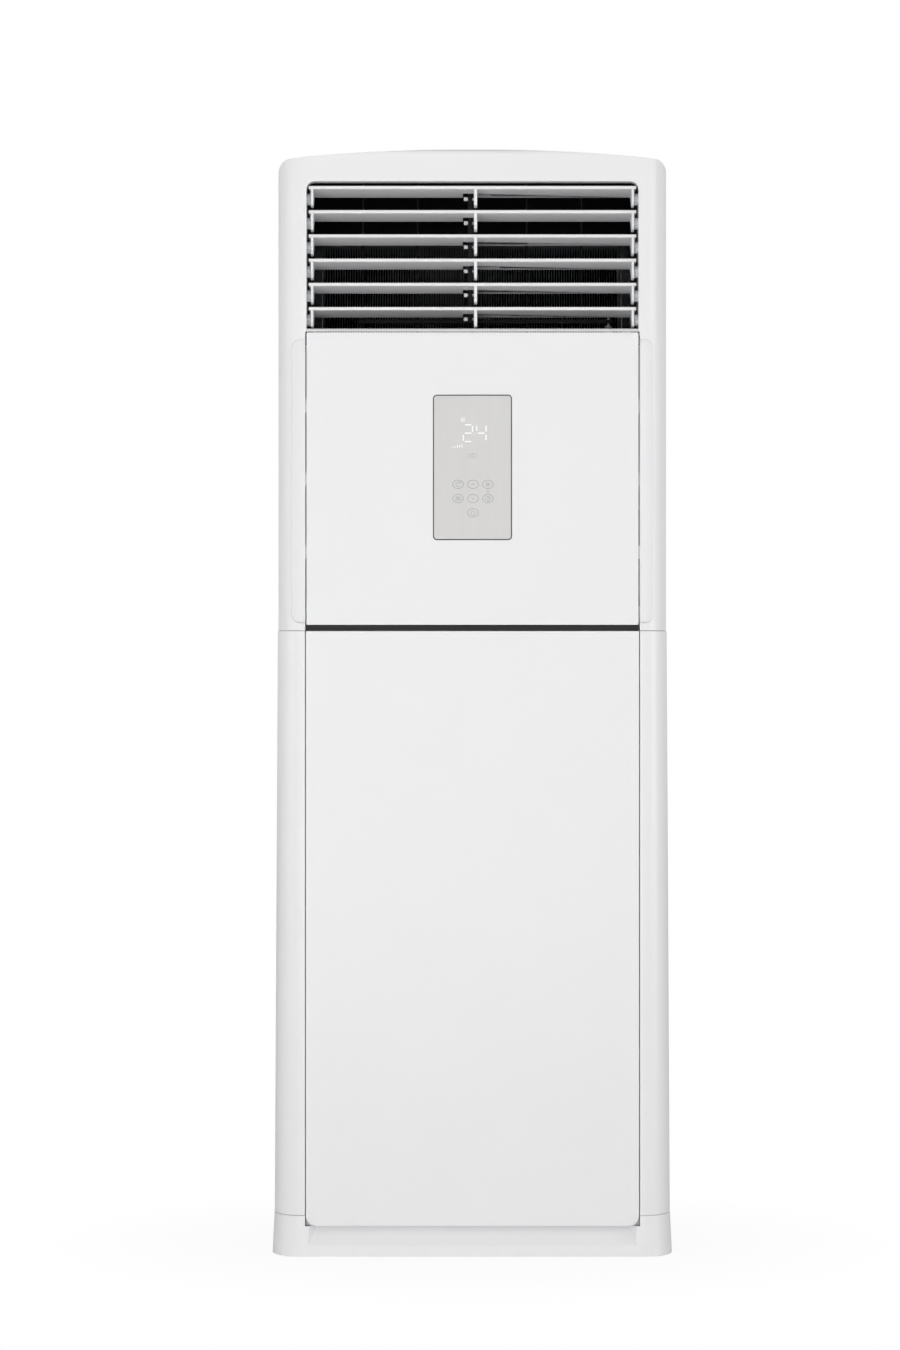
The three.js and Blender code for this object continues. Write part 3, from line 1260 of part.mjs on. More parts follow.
function electricBoxLid() {
  const front = BOX_Y - FIT - SHEET;
  const lid = block(-BOX_HALF, BOX_HALF, front, front + SHEET, BOX_BOTTOM, BOX_TOP);
  const slots = Array.from({ length: BOX_SLOTS }, (_, i) => {
    const x = BOX_HALF - BOX_HANG - (i + 1) * SLOT_PITCH;
    return block(x, x + SLOT_WIDE, front - 5, front + 10, BOX_TOP - 3 * BOX_HANG, BOX_TOP - BOX_HANG);
  });
  return cut(lid, ...slots);
}

function terminalBlock() {
  const back = BOX_Y + BOX_DEPTH - SHEET - FIT;
  const pitch = TERMINAL_PITCH;
  const long = TERMINALS * pitch;
  const left = TERMINAL_IN - BOX_HALF;
  const low = BOX_BOTTOM + TERMINAL_UP;
  const high = low + TERMINAL_TALL;
  let strip = block(left, left + long, back - TERMINAL_DEPTH, back, low, high);
  for (let i = 0; i < TERMINALS; i += 1) {
    const x = left + i * pitch;
    for (const [z0, z1] of [[low - 5, low + TERMINAL_TALL / 3], [high - TERMINAL_TALL / 3, high + 5]]) {
      strip = cut(strip, block(x + 2, x + pitch - 2,
        back - TERMINAL_DEPTH - 5, back - TERMINAL_DEPTH / 2, z0, z1));
    }
  }
  return strip;
}

/** Refrigerant pipe: out of the tube sheet, down beside the scroll and back to the knock-out. */
function refrigerantPipe(radius, start, drop, tail) {
  const points = [
    start,
    [drop[0], start[1], start[2]],
    [drop[0], drop[1], start[2] - PIPE_FALL],
    [drop[0], drop[1], tail[2]],
    tail,
  ].map((p) => new THREE.Vector3(...p));
  const path = new THREE.CurvePath();
  let from = points[0];
  for (let i = 1; i + 1 < points.length; i += 1) {
    const [before, corner, after] = [points[i - 1], points[i], points[i + 1]];
    const into = corner.clone().add(before.clone().sub(corner).setLength(PIPE_BEND));
    const out = corner.clone().add(after.clone().sub(corner).setLength(PIPE_BEND));
    path.add(new THREE.LineCurve3(from, into));
    path.add(new THREE.QuadraticBezierCurve3(into, corner, out));
    from = out;
  }
  path.add(new THREE.LineCurve3(from, points.at(-1)));
  const ring = new THREE.Shape(arc(0, 0, radius, 0, 300, 5).map(([a, b]) => new THREE.Vector2(a, b)));
  return solid(new THREE.ExtrudeGeometry(ring, { extrudePath: path, steps: 28, bevelEnabled: false }));
}

// ---------------------------------------------------------------- the assembly

piece('upper_front_frame', upperFrontFrame(), whitePlastic);
piece('top_cover', topCover(), whitePlastic);
piece('back_panel', backPanel(), whiteSteel);
piece('cable_grommet', cableGrommet(), rubber);
piece('control_panel', controlPanel(), whitePlastic);
piece('display_window', displayWindow(), silverPlate);
piece('trim_strip', trimStrip(), glossBlack);
piece('front_door', frontDoor(), whitePlastic);
piece('base_skirt', baseSkirt(), whitePlastic);
piece('base_pan', basePan(), zincSteel);

for (const side of [-1, 1]) {
  const name = sideName(side);
  piece(`upper_side_panel_${name}`, upperSidePanel(side), whiteSteel);
  piece(`lower_column_${name}`, lowerColumn(side), whitePlastic);
  piece(`lower_side_panel_${name}`, lowerSidePanel(side), whiteSteel);
  piece(`intake_grille_${name}`, intakeGrille(side), whitePlastic);
  piece(`air_filter_${name}`, airFilter(side), greyNylon);
  piece(`levelling_foot_front_${name}`, levellingFoot(side * FOOT_X, -FOOT_Y), rubber);
  piece(`levelling_foot_rear_${name}`, levellingFoot(side * FOOT_X, FOOT_Y), rubber);
  piece(`louvre_frame_${name}`, louvreFrame(side), palePlastic);
}

const vaneBody = horizontalVane();
for (let i = 0; i < VANES; i += 1) {
  const vane = piece(`horizontal_vane_${i + 1}`, vaneBody, whitePlastic);
  vane.position.set(0, PIVOT_Y, VANE_PIVOT_Z - i * VANE_PITCH);
  vane.rotation.x = rad(VANE_REST);
}

const tiltAxis = new THREE.Vector3(1, 0, 0);
const pegAtRest = new THREE.Vector3(0, PEG_Y, PEG_Z).applyAxisAngle(tiltAxis, rad(VANE_REST));
const vaneLink = piece('vane_link_bar', vaneLinkBar(), blackPlastic);
vaneLink.position.set(0, PIVOT_Y + pegAtRest.y, VANE_PIVOT_Z + pegAtRest.z);

piece('outlet_duct', outletDuct(), blackPlastic);
const fingerBody = verticalVane();
for (let i = 0; i < FINGERS; i += 1) {
  const finger = piece(`vertical_vane_${i + 1}`, fingerBody, blackPlastic);
  finger.position.set(FIRST_FINGER + i * FINGER_PITCH, HINGE_Y, DUCT_BOTTOM);
}
const swingLink = piece('swing_link_bar', swingLinkBar(), blackPlastic);
swingLink.position.set(FIRST_FINGER, HINGE_Y - LEVER, DUCT_BOTTOM + SWING_LINK_Z);
const crank = piece('swing_crank', swingCrank(), palePlastic);
crank.position.set(CRANK_X, HINGE_Y, DUCT_BOTTOM);
piece('swing_motor', swingMotor(), zincSteel);

const coil = new THREE.Group();
coil.position.set(0, FACE + COIL_FOOT_BACK, COIL_FOOT_Z);
coil.rotation.x = rad(-COIL_LEAN);
airConditioner.add(coil);
piece('evaporator_coil', evaporatorCoil(), aluminium, coil);
piece('tube_sheet_left', tubeSheet(-1), zincSteel, coil);
piece('tube_sheet_right', tubeSheet(1), zincSteel, coil);
piece('drain_tray', drainTray(), whiteFoam);

const scrollBack = FACE + SCROLL_FRONT + SCROLL_DEPTH;
const wheelY = FACE + SCROLL_FRONT + SCROLL_DEPTH / 2 + FAN_OFFSET;
const motorFront = scrollBack + MOTOR_GAP;
const bracketFront = motorFront + FAN_MOTOR_LONG + FIT;
piece('fan_scroll', fanScroll(), palePlastic);
piece('inlet_ring', inletRing(), palePlastic);
const fan = new THREE.Group();
fan.position.set(0, wheelY, FAN_Z);
airConditioner.add(fan);
const hubFront = FAN_WIDTH / 2 - HUB_LONG;
piece('fan_wheel', fanWheel(), greyNylon, fan);
const shaftEnd = motorFront + MOTOR_BORE - WALL - wheelY;
piece('motor_shaft', motorShaft(hubFront - NUT_LONG - WALL, shaftEnd), zincSteel, fan);
piece('hub_nut', hubNut(hubFront - NUT_LONG, hubFront - FIT), zincSteel, fan);
piece('fan_motor', fanMotor(motorFront), zincSteel);
piece('motor_bracket', motorBracket(bracketFront), zincSteel);

const pipeHoles = [];
for (const [name, { radius, back, rise, tail }] of [['suction_pipe', SUCTION], ['liquid_pipe', LIQUID]]) {
  const y = BACK - back;
  const coilY = FACE + COIL_FOOT_BACK + rise * Math.tan(rad(COIL_LEAN));
  const start = [COIL_HALF + SHEET + 2 * FIT, coilY, COIL_FOOT_Z + rise];
  const end = [PIPE_X, BACK_SHEET_Y - FIT, tail];
  piece(name, refrigerantPipe(radius, start, [PIPE_X, y], end), copper);
  pipeHoles.push(rodZ(radius + PIPE_FIT, PARTITION_Z - 9, PARTITION_Z + 9, PIPE_X, y));
}
piece('partition_plate', partitionPlate(pipeHoles), zincSteel);
piece('electric_box', electricBox(), zincSteel);
piece('electric_box_lid', electricBoxLid(), zincSteel);
piece('terminal_block', terminalBlock(), blackPlastic);

export default airConditioner;
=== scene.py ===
"""Floor standing cabinet air conditioner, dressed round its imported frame. Metres, +Z up, front faces -Y."""

import math

import bmesh
import bpy
from mathutils import Matrix, Vector


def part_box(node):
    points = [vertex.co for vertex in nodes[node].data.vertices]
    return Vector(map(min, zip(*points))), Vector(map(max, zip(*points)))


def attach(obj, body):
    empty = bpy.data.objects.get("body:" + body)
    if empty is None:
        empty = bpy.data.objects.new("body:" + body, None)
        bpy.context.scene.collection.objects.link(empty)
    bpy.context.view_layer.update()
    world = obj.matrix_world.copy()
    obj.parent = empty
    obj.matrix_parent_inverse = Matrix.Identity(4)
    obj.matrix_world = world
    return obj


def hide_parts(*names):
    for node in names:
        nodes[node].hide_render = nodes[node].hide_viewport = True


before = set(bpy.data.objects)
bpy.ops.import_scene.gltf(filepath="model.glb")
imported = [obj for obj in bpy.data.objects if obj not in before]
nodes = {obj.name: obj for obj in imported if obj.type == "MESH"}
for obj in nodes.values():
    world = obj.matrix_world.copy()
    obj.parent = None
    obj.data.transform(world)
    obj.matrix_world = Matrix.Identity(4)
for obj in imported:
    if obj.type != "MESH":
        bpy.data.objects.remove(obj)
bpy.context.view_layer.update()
scene = bpy.context.scene

# ---------------------------------------------------------------- camera
# A long lens straight in front of the cabinet at chest height, level and without shift,
# so that the sides stay upright and the vanes are seen a little from below.
LENS = 113.0
CAMERA_AT = (-0.0345, -6.685, 0.893)
camera_data = bpy.data.cameras.new("camera")
camera_data.lens = LENS
camera_data.sensor_width = 36.0
camera = bpy.data.objects.new("camera", camera_data)
camera.location = CAMERA_AT
camera.rotation_euler = (math.radians(90), 0, 0)
scene.collection.objects.link(camera)
scene.camera = camera
scene.view_settings.view_transform = "Standard"


# ---------------------------------------------------------------- room and lamps
# White surroundings that only the camera and reflections see as white, soft lamps at both
# sides and above, and two low in front that light the undersides of the vanes.
def add(tree, kind, settings=(), links=()):
    """A node with its settings, by attribute or input socket, and the links into it."""
    node = tree.nodes.new(kind)
    for key, value in dict(settings).items():
        if isinstance(key, str) and hasattr(node, key):
            setattr(node, key, value)
        else:
            node.inputs[key].default_value = value
    for key, source in dict(links).items():
        tree.links.new(source, node.inputs[key])
    return node


AMBIENT = 0.48
REFLECTED = 0.85
world = bpy.data.worlds.new("studio")
scene.world = world
world.use_nodes = True
sky = world.node_tree
sky.nodes.clear()
ray = add(sky, "ShaderNodeLightPath")
seen = add(sky, "ShaderNodeMath", {"operation": "MAXIMUM"},
           {0: ray.outputs["Is Camera Ray"], 1: ray.outputs["Is Transmission Ray"]})
shine = add(sky, "ShaderNodeMath", {"operation": "MULTIPLY_ADD", 1: REFLECTED - AMBIENT, 2: AMBIENT},
            {0: ray.outputs["Is Glossy Ray"]})
level = add(sky, "ShaderNodeMath", {"operation": "MAXIMUM"}, {0: seen.outputs[0], 1: shine.outputs[0]})
glow = add(sky, "ShaderNodeBackground", {"Color": (1, 1, 1, 1)}, {"Strength": level.outputs[0]})
add(sky, "ShaderNodeOutputWorld", (), {"Surface": glow.outputs[0]})

LAMPS = {
    "lamp_left": dict(at=(-4.6, -1.6, 1.3), size=(1.6, 2.2), watts=19, aim=0.9, spread=180),
    "lamp_right": dict(at=(4.6, -1.6, 1.3), size=(1.6, 2.2), watts=41, aim=0.9, spread=180),
    "lamp_top": dict(at=(-1.8, -5.2, 4.6), size=(3.2, 2.4), watts=22, aim=0.9, spread=180),
    "lamp_low": dict(at=(-0.7, -4.4, 0.25), size=(3.0, 0.4), watts=30, aim=0.9, spread=180),
    "lamp_vanes": dict(at=(-0.7, -4.4, 0.25), size=(3.0, 0.4), watts=11, aim=1.75, spread=80),
}
for name, lamp in LAMPS.items():
    data = bpy.data.lights.new(name, "AREA")
    data.shape = "RECTANGLE"
    data.size, data.size_y = lamp["size"]
    data.energy = lamp["watts"]
    data.spread = math.radians(lamp["spread"])
    light = bpy.data.objects.new(name, data)
    light.location = lamp["at"]
    aim = Vector((0, 0, lamp["aim"]))
    light.rotation_euler = (aim - light.location).to_track_quat("-Z", "Y").to_euler()
    light.visible_glossy = name not in ("lamp_low", "lamp_vanes")
    scene.collection.objects.link(light)

FLOOR = 30.0
floor_mesh = bpy.data.meshes.new("floor")
floor_mesh.from_pydata([(-FLOOR, -FLOOR, 0), (FLOOR, -FLOOR, 0), (FLOOR, FLOOR, 0), (-FLOOR, FLOOR, 0)],
                       [], [(0, 1, 2, 3)])
floor = bpy.data.objects.new("floor", floor_mesh)
scene.collection.objects.link(floor)
paper = bpy.data.materials.new("white_paper_floor")
paper.use_nodes = True
tree = paper.node_tree
tree.nodes.clear()
ray = add(tree, "ShaderNodeLightPath")
# The paper is white to the camera, and shows a shadow only close round the cabinet.
SHADOW_NEAR, SHADOW_FAR, SHADOW_DEPTH = 0.3, 0.7, 0.07
where = add(tree, "ShaderNodeTexCoord")
away = add(tree, "ShaderNodeVectorMath", {"operation": "LENGTH"}, {0: where.outputs["Object"]})
paler = add(tree, "ShaderNodeMapRange", {"From Min": SHADOW_NEAR, "From Max": SHADOW_FAR,
                                         "To Min": 1 - SHADOW_DEPTH, "To Max": 1.0},
            {"Value": away.outputs["Value"]})
share = add(tree, "ShaderNodeMath", {"operation": "MULTIPLY"},
            {0: paler.outputs[0], 1: ray.outputs["Is Camera Ray"]})
matt = add(tree, "ShaderNodeBsdfDiffuse", {"Color": (0.8, 0.8, 0.8, 1)})
white = add(tree, "ShaderNodeEmission", {"Color": (1, 1, 1, 1), "Strength": 1.0})
both = add(tree, "ShaderNodeMixShader", (), {0: share.outputs[0], 1: matt.outputs[0], 2: white.outputs[0]})
add(tree, "ShaderNodeOutputMaterial", (), {"Surface": both.outputs[0]})
floor_mesh.materials.append(paper)


# ---------------------------------------------------------------- base skirt
# A white moulded ABS plinth that spreads a little to the floor, with a sloping recess under
# the door for the toe. It is one shell that clips over the steel base pan.
def linear(code):
    """An sRGB hex colour as linear values for a shader."""
    parts = [int(code[i:i + 2], 16) / 255 for i in (1, 3, 5)]
    return tuple(c / 12.92 if c <= 0.04045 else ((c + 0.055) / 1.055) ** 2.4 for c in parts) + (1.0,)


def coated(name, colour, rough, metal=0.0, grain=0.0011, relief=0.06, vary=0.03, cloud=0.16,
           stretch=(1, 1, 1), shine=0.5, tint=0.01):
    """A surface of one colour in faint clouds, with a fine grain that breaks up gloss and relief."""
    made = bpy.data.materials.new(name)
    made.use_nodes = True
    tree = made.node_tree
    tree.nodes.clear()
    place = add(tree, "ShaderNodeTexCoord")
    drawn = add(tree, "ShaderNodeMapping", {"Scale": stretch}, {"Vector": place.outputs["Object"]})
    fine = add(tree, "ShaderNodeTexNoise", {"Scale": 1 / grain, "Detail": 3.0, "Roughness": 0.6},
               {"Vector": drawn.outputs[0]})
    wide = add(tree, "ShaderNodeTexNoise", {"Scale": 1 / cloud, "Detail": 2.0},
               {"Vector": drawn.outputs[0]})
    gloss = add(tree, "ShaderNodeMapRange", {"To Min": rough - vary, "To Max": rough + vary},
                {"Value": fine.outputs[0]})
    low = tuple(c * (1 - tint) for c in linear(colour)[:3]) + (1,)
    high = tuple(min(c * (1 + tint), 1) for c in linear(colour)[:3]) + (1,)
    shade = add(tree, "ShaderNodeMix", {"data_type": "RGBA", 6: low, 7: high}, {0: wide.outputs[0]})
    bump = add(tree, "ShaderNodeBump", {"Strength": relief, "Distance": grain / 4},
               {"Height": fine.outputs[0]})
    skin = add(tree, "ShaderNodeBsdfPrincipled", {"Metallic": metal, "Specular IOR Level": shine},
               {"Base Color": shade.outputs[2], "Roughness": gloss.outputs[0], "Normal": bump.outputs[0]})
    add(tree, "ShaderNodeOutputMaterial", (), {"Surface": skin.outputs[0]})
    return made


def plain_mesh(piece):
    """The piece's modifiers worked into its mesh, and taken off."""
    bpy.context.view_layer.update()
    worked = piece.evaluated_get(bpy.context.evaluated_depsgraph_get())
    mesh = bpy.data.meshes.new_from_object(worked)
    piece.modifiers.clear()
    piece.data = mesh
    return piece


MERGE_WITHIN = 2e-5
FLAT_WITHIN = 0.4


def eased(name, node, body, finish, edge=0.0008, steps=2, sharp=28):
    """A merged copy of a CAD node with rounded edges and smooth curves, standing for that node."""
    mesh = nodes[node].data.copy()
    shape = bmesh.new()
    shape.from_mesh(mesh)
    bmesh.ops.remove_doubles(shape, verts=shape.verts, dist=MERGE_WITHIN)
    bmesh.ops.dissolve_limit(shape, angle_limit=math.radians(FLAT_WITHIN), verts=shape.verts,
                             edges=shape.edges)
    for face in shape.faces:
        face.smooth = True
    for seam in shape.edges:
        seam.smooth = seam.calc_face_angle(math.pi) < math.radians(sharp)
    shape.to_mesh(mesh)
    shape.free()
    mesh.materials.clear()
    mesh.materials.append(finish)
    piece = bpy.data.objects.new(name, mesh)
    scene.collection.objects.link(piece)
    if edge:
        bevel = piece.modifiers.new("eased_edges", "BEVEL")
        bevel.width = edge
        bevel.segments = steps
        bevel.limit_method = "ANGLE"
        bevel.angle_limit = math.radians(sharp)
        bevel.harden_normals = True
        plain_mesh(piece)
    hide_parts(node)
    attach(piece, body)
    return piece


# ABS moulded in a spark-eroded tool: a satin white whose fine grain spreads the highlights.
# The real grain is about 0.1 mm; here and on the other plastics it is drawn near 1 mm to show at all.
satin_abs = coated("satin_moulded_abs", "#EFEFF0", 0.34, grain=0.0012, relief=0.05)

eased("base_skirt_moulding", "base_skirt", "cabinet", satin_abs, edge=0.0011, steps=3)


def block(shape, outline, front, back):
    """Adds a closed flat block with an outline of x and z, from one depth to another."""
    near = [shape.verts.new((x, front, z)) for x, z in outline]
    far = [shape.verts.new((x, back, z)) for x, z in outline]
    shape.faces.new(near)
    shape.faces.new(reversed(far))
    for i in range(len(outline)):
        j = (i + 1) % len(outline)
        shape.faces.new((near[i], far[i], far[j], near[j]))


def slab(name, outline, front, back, finish):
    """A flat piece of the cabinet, made of one block."""
    shape = bmesh.new()
    block(shape, outline, front, back)
    bmesh.ops.recalc_face_normals(shape, faces=shape.faces)
    mesh = bpy.data.meshes.new(name)
    shape.to_mesh(mesh)
    shape.free()
    mesh.materials.append(finish)
    piece = bpy.data.objects.new(name, mesh)
    scene.collection.objects.link(piece)
    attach(piece, "cabinet")


# Webs close the gap outside the door's rounded lower corners, a little behind its face.
WEB_BACK = (0.0125, 0.0152)
WEB_R = 0.0154
CORNER_IN = 0.015
WEB_OUT = 0.0012
WEB_UNDER = 0.0003
ARC_STEPS = 8
low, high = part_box("front_door")
for side, way in (("left", -1), ("right", 1)):
    mid_x, mid_z = high.x - CORNER_IN, low.z + CORNER_IN
    outline = [(way * (high.x + WEB_OUT), low.z - WEB_UNDER), (way * (high.x + WEB_OUT), mid_z)]
    for i in range(ARC_STEPS + 1):
        turn = math.radians(-90 * i / ARC_STEPS)
        outline.append((way * (mid_x + WEB_R * math.cos(turn)), mid_z + WEB_R * math.sin(turn)))
    slab(f"corner_web_{side}", outline, low.y + WEB_BACK[0], low.y + WEB_BACK[1],
         satin_abs)

# ---------------------------------------------------------------- base pan and feet
# A folded galvanised pan carries the whole cabinet; its zinc shows as a faint cold spangle.
# Four levelling feet of hard rubber screw into it from below.
spangled_zinc = coated("spangled_galvanised_steel", "#B3B7BA", 0.42, metal=1.0, grain=0.009,
                       relief=0.03, vary=0.09, cloud=0.05, tint=0.05)
# Vulcanised rubber comes out of its mould dull and nearly black, and only its edges catch light.
moulded_rubber = coated("moulded_rubber", "#1A1A1B", 0.7, grain=0.0012, relief=0.15)
eased("base_pan_pressing", "base_pan", "cabinet", spangled_zinc, edge=0.0003)
for end in ("front_left", "front_right", "rear_left", "rear_right"):
    eased(f"foot_{end}", f"levelling_foot_{end}", "cabinet", moulded_rubber, edge=0.0005)

# ---------------------------------------------------------------- lower columns and side panels
# Two ABS columns turn the front corners on an oval; behind them folded steel sheets, coated
# with white powder, close the sides and carry the intake grilles.
# Baked polyester powder flows out to a low orange peel, about 2 mm from crest to crest.
powder_coat = coated("powder_coated_steel", "#EBECED", 0.4, grain=0.002, relief=0.07)
for side in ("left", "right"):
    eased(f"lower_column_{side}_moulding", f"lower_column_{side}", "cabinet", satin_abs)
    eased(f"lower_side_{side}_sheet", f"lower_side_panel_{side}", "cabinet", powder_coat,
          edge=0.0005)

# ---------------------------------------------------------------- side intakes
# Each intake is a moulded frame of level slats that pulls out sideways with its air filter,
# a nylon lattice that holds a net. The net is woven at 1.2 mm; it is drawn at 3 mm to show.
NET_PITCH = 0.003
NET_THREAD = 0.0004
NET_INSET = 0.0025
FILTER_THICK = 0.005
# Nylon filled with glass fibre has a dry mid grey skin without a clear highlight.
glass_nylon = coated("glass_filled_nylon", "#71777B", 0.52, grain=0.0014, relief=0.12)
# The woven thread is darker than its lattice, so that the net reads as a thin veil.
net_nylon = coated("filter_net_nylon", "#4C5154", 0.6, grain=0.001, relief=0.1)


def socket_of(tree, label):
    """The identifier of a tree's named input."""
    return next(item.identifier for item in tree.interface.items_tree if item.name == label)


def node_tree(name, inputs):
    """An empty geometry tree with named number inputs, its input node and its output node."""
    tree = bpy.data.node_groups.new(name, "GeometryNodeTree")
    for label, value in inputs.items():
        kind = "NodeSocketInt" if isinstance(value, int) else "NodeSocketFloat"
        tree.interface.new_socket(label, in_out="INPUT", socket_type=kind).default_value = value
    tree.interface.new_socket("Geometry", in_out="OUTPUT", socket_type="NodeSocketGeometry")
    return tree, add(tree, "NodeGroupInput"), add(tree, "NodeGroupOutput")


def grown(name, tree, values):
    """A plain mesh object made by a geometry tree with these input values."""
    piece = bpy.data.objects.new(name, bpy.data.meshes.new(name))
    scene.collection.objects.link(piece)
    growth = piece.modifiers.new("growth", "NODES")
    growth.node_group = tree
    for label, value in values.items():
        growth[socket_of(tree, label)] = value
    return plain_mesh(piece)


net_tree, given, out = node_tree("filter_net", {
    "Depth": 0.2, "Height": 0.6, "Pitch": NET_PITCH, "Thread": NET_THREAD})
threads = []
for across, along in ((1, 2), (2, 1)):
    span = given.outputs["Depth" if across == 1 else "Height"]
    length = given.outputs["Height" if across == 1 else "Depth"]
    count = add(net_tree, "ShaderNodeMath", {"operation": "DIVIDE"}, {0: span, 1: given.outputs["Pitch"]})
    step = add(net_tree, "ShaderNodeCombineXYZ", (), {across: given.outputs["Pitch"]})
    row = add(net_tree, "GeometryNodeMeshLine", (), {"Count": count.outputs[0], "Offset": step.outputs[0]})
    size = add(net_tree, "ShaderNodeCombineXYZ", (),
               {0: given.outputs["Thread"], across: given.outputs["Thread"], along: length})
    strand = add(net_tree, "GeometryNodeMeshCube", (), {"Size": size.outputs[0]})
    half = add(net_tree, "ShaderNodeMath", {"operation": "MULTIPLY", 1: 0.5}, {0: length})
    lift = add(net_tree, "ShaderNodeCombineXYZ", (), {along: half.outputs[0]})
    moved = add(net_tree, "GeometryNodeTransform", (),
                {"Geometry": strand.outputs[0], "Translation": lift.outputs[0]})
    rows = add(net_tree, "GeometryNodeInstanceOnPoints", (),
               {"Points": row.outputs[0], "Instance": moved.outputs[0]})
    threads.append(rows.outputs[0])
woven = add(net_tree, "GeometryNodeJoinGeometry")
for strands in threads:
    net_tree.links.new(strands, woven.inputs[0])
real = add(net_tree, "GeometryNodeRealizeInstances", (), {0: woven.outputs[0]})
done = add(net_tree, "GeometryNodeSetMaterial", {"Material": net_nylon}, {"Geometry": real.outputs[0]})
net_tree.links.new(done.outputs[0], out.inputs[0])

for side, way in (("left", -1), ("right", 1)):
    eased(f"intake_{side}_slats", f"intake_grille_{side}", f"intake_{side}", satin_abs,
          edge=0.0006)
    eased(f"filter_{side}_lattice", f"air_filter_{side}", f"intake_{side}", glass_nylon,
          edge=0.0003)
    low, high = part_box(f"air_filter_{side}")
    net = grown(f"filter_{side}_net", net_tree, {
        "Depth": high.y - low.y - 2 * NET_INSET, "Height": high.z - low.z - 2 * NET_INSET})
    foot_x = way * (max(abs(low.x), abs(high.x)) - NET_THREAD)
    head_x = way * (min(abs(low.x), abs(high.x)) + FILTER_THICK - NET_THREAD)
    for corner in net.data.vertices:
        share = corner.co.z / (high.z - low.z)
        corner.co.x += foot_x + (head_x - foot_x) * share
        corner.co.y += low.y + NET_INSET
        corner.co.z += low.z + NET_INSET
    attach(net, f"intake_{side}")

# ---------------------------------------------------------------- front door
# The lower door is one large flat ABS tray with turned edges. It hooks over the column ledges
# and lifts straight off towards the front for servicing.
eased("front_door_moulding", "front_door", "door", satin_abs, edge=0.0011, steps=3)

# ---------------------------------------------------------------- fan chamber
# A centrifugal fan: a moulded scroll with its bell mouth, and a moulded nylon wheel on the
# shaft of an enclosed motor, held by a folded bracket.
# Uncoated ABS, off-white and a little duller than the outside of the cabinet.
natural_abs = coated("natural_moulded_abs", "#D5D8DA", 0.46, grain=0.0014, relief=0.08)
# Stoved enamel is a hard black with a soft sheen, which shows how round the motor is.
enamel_black = coated("stoved_motor_enamel", "#222426", 0.38, grain=0.0018, relief=0.1)
eased("scroll_moulding", "fan_scroll", "cabinet", natural_abs, edge=0.0005)
eased("bell_mouth", "inlet_ring", "cabinet", natural_abs, edge=0.0003, sharp=35)
eased("wheel_moulding", "fan_wheel", "fan", glass_nylon, edge=0)
eased("turned_shaft", "motor_shaft", "fan", spangled_zinc, edge=0.0003)
eased("shaft_nut", "hub_nut", "fan", spangled_zinc, edge=0.0004)
eased("enclosed_motor", "fan_motor", "cabinet", enamel_black, edge=0.0012, steps=3, sharp=35)
eased("motor_carrier", "motor_bracket", "cabinet", spangled_zinc, edge=0.0003)
eased("partition_pressing", "partition_plate", "cabinet", spangled_zinc, edge=0.0003)
eased("electric_box_case", "electric_box", "cabinet", spangled_zinc, edge=0.0003)
eased("electric_box_cover", "electric_box_lid", "cabinet", spangled_zinc, edge=0.0003)

# ---------------------------------------------------------------- coil chamber
# The evaporator leans back over a foam drain tray. Its aluminium fins are coloured near black as painted
# shade, so that the coil stays dark; they stand 1.6 mm apart and are drawn at 4 mm so that they show between
# the vanes.
FIN_PITCH = 0.004
FIN_SHEET = 0.0004
# Painted shade: the fins are near black and reflect almost nothing, so that the coil stays dark behind the
# vanes.
fin_painted_shade = coated("aluminium_fins_painted_shade", "#030304", 0.8, grain=0.003, relief=0.05, shine=0.02)
# Expanded polystyrene is dull and off-white, with its fused beads as pebbled relief.
tray_foam = coated("expanded_tray_foam", "#E9E8E2", 0.9, grain=0.003, relief=0.4, vary=0.02)
# Drawn copper tube is bright, and a little clouded by handling.
drawn_copper = coated("drawn_copper_tube", "#C67C55", 0.28, metal=1.0, grain=0.004, relief=0.02,
                      vary=0.06, cloud=0.04, tint=0.08)
eased("tray_moulding", "drain_tray", "cabinet", tray_foam, edge=0.002, steps=3)
for side in ("left", "right"):
    eased(f"tube_sheet_{side}_bends", f"tube_sheet_{side}", "cabinet", spangled_zinc, edge=0,
          sharp=50)
eased("suction_tube", "suction_pipe", "cabinet", drawn_copper, edge=0, sharp=60)
eased("liquid_tube", "liquid_pipe", "cabinet", drawn_copper, edge=0, sharp=60)

fin_tree, given, out = node_tree("coil_fins", {
    "Width": 0.46, "Depth": 0.06, "Height": 0.6, "Pitch": FIN_PITCH, "Sheet": FIN_SHEET})
count = add(fin_tree, "ShaderNodeMath", {"operation": "DIVIDE"},
            {0: given.outputs["Width"], 1: given.outputs["Pitch"]})
step = add(fin_tree, "ShaderNodeCombineXYZ", (), {0: given.outputs["Pitch"]})
row = add(fin_tree, "GeometryNodeMeshLine", (), {"Count": count.outputs[0], "Offset": step.outputs[0]})
size = add(fin_tree, "ShaderNodeCombineXYZ", (),
           {0: given.outputs["Sheet"], 1: given.outputs["Depth"], 2: given.outputs["Height"]})
fin = add(fin_tree, "GeometryNodeMeshCube", (), {"Size": size.outputs[0]})
fins = add(fin_tree, "GeometryNodeInstanceOnPoints", (),
           {"Points": row.outputs[0], "Instance": fin.outputs[0]})
real = add(fin_tree, "GeometryNodeRealizeInstances", (), {0: fins.outputs[0]})
done = add(fin_tree, "GeometryNodeSetMaterial", {"Material": fin_painted_shade}, {"Geometry": real.outputs[0]})
fin_tree.links.new(done.outputs[0], out.inputs[0])
COIL_LEAN = math.radians(17)
COIL_DEPTH = 0.066
COIL_SKIN = 0.001
low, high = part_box("evaporator_coil")
coil_tall = (high.z - low.z - COIL_DEPTH * math.sin(COIL_LEAN)) / math.cos(COIL_LEAN)
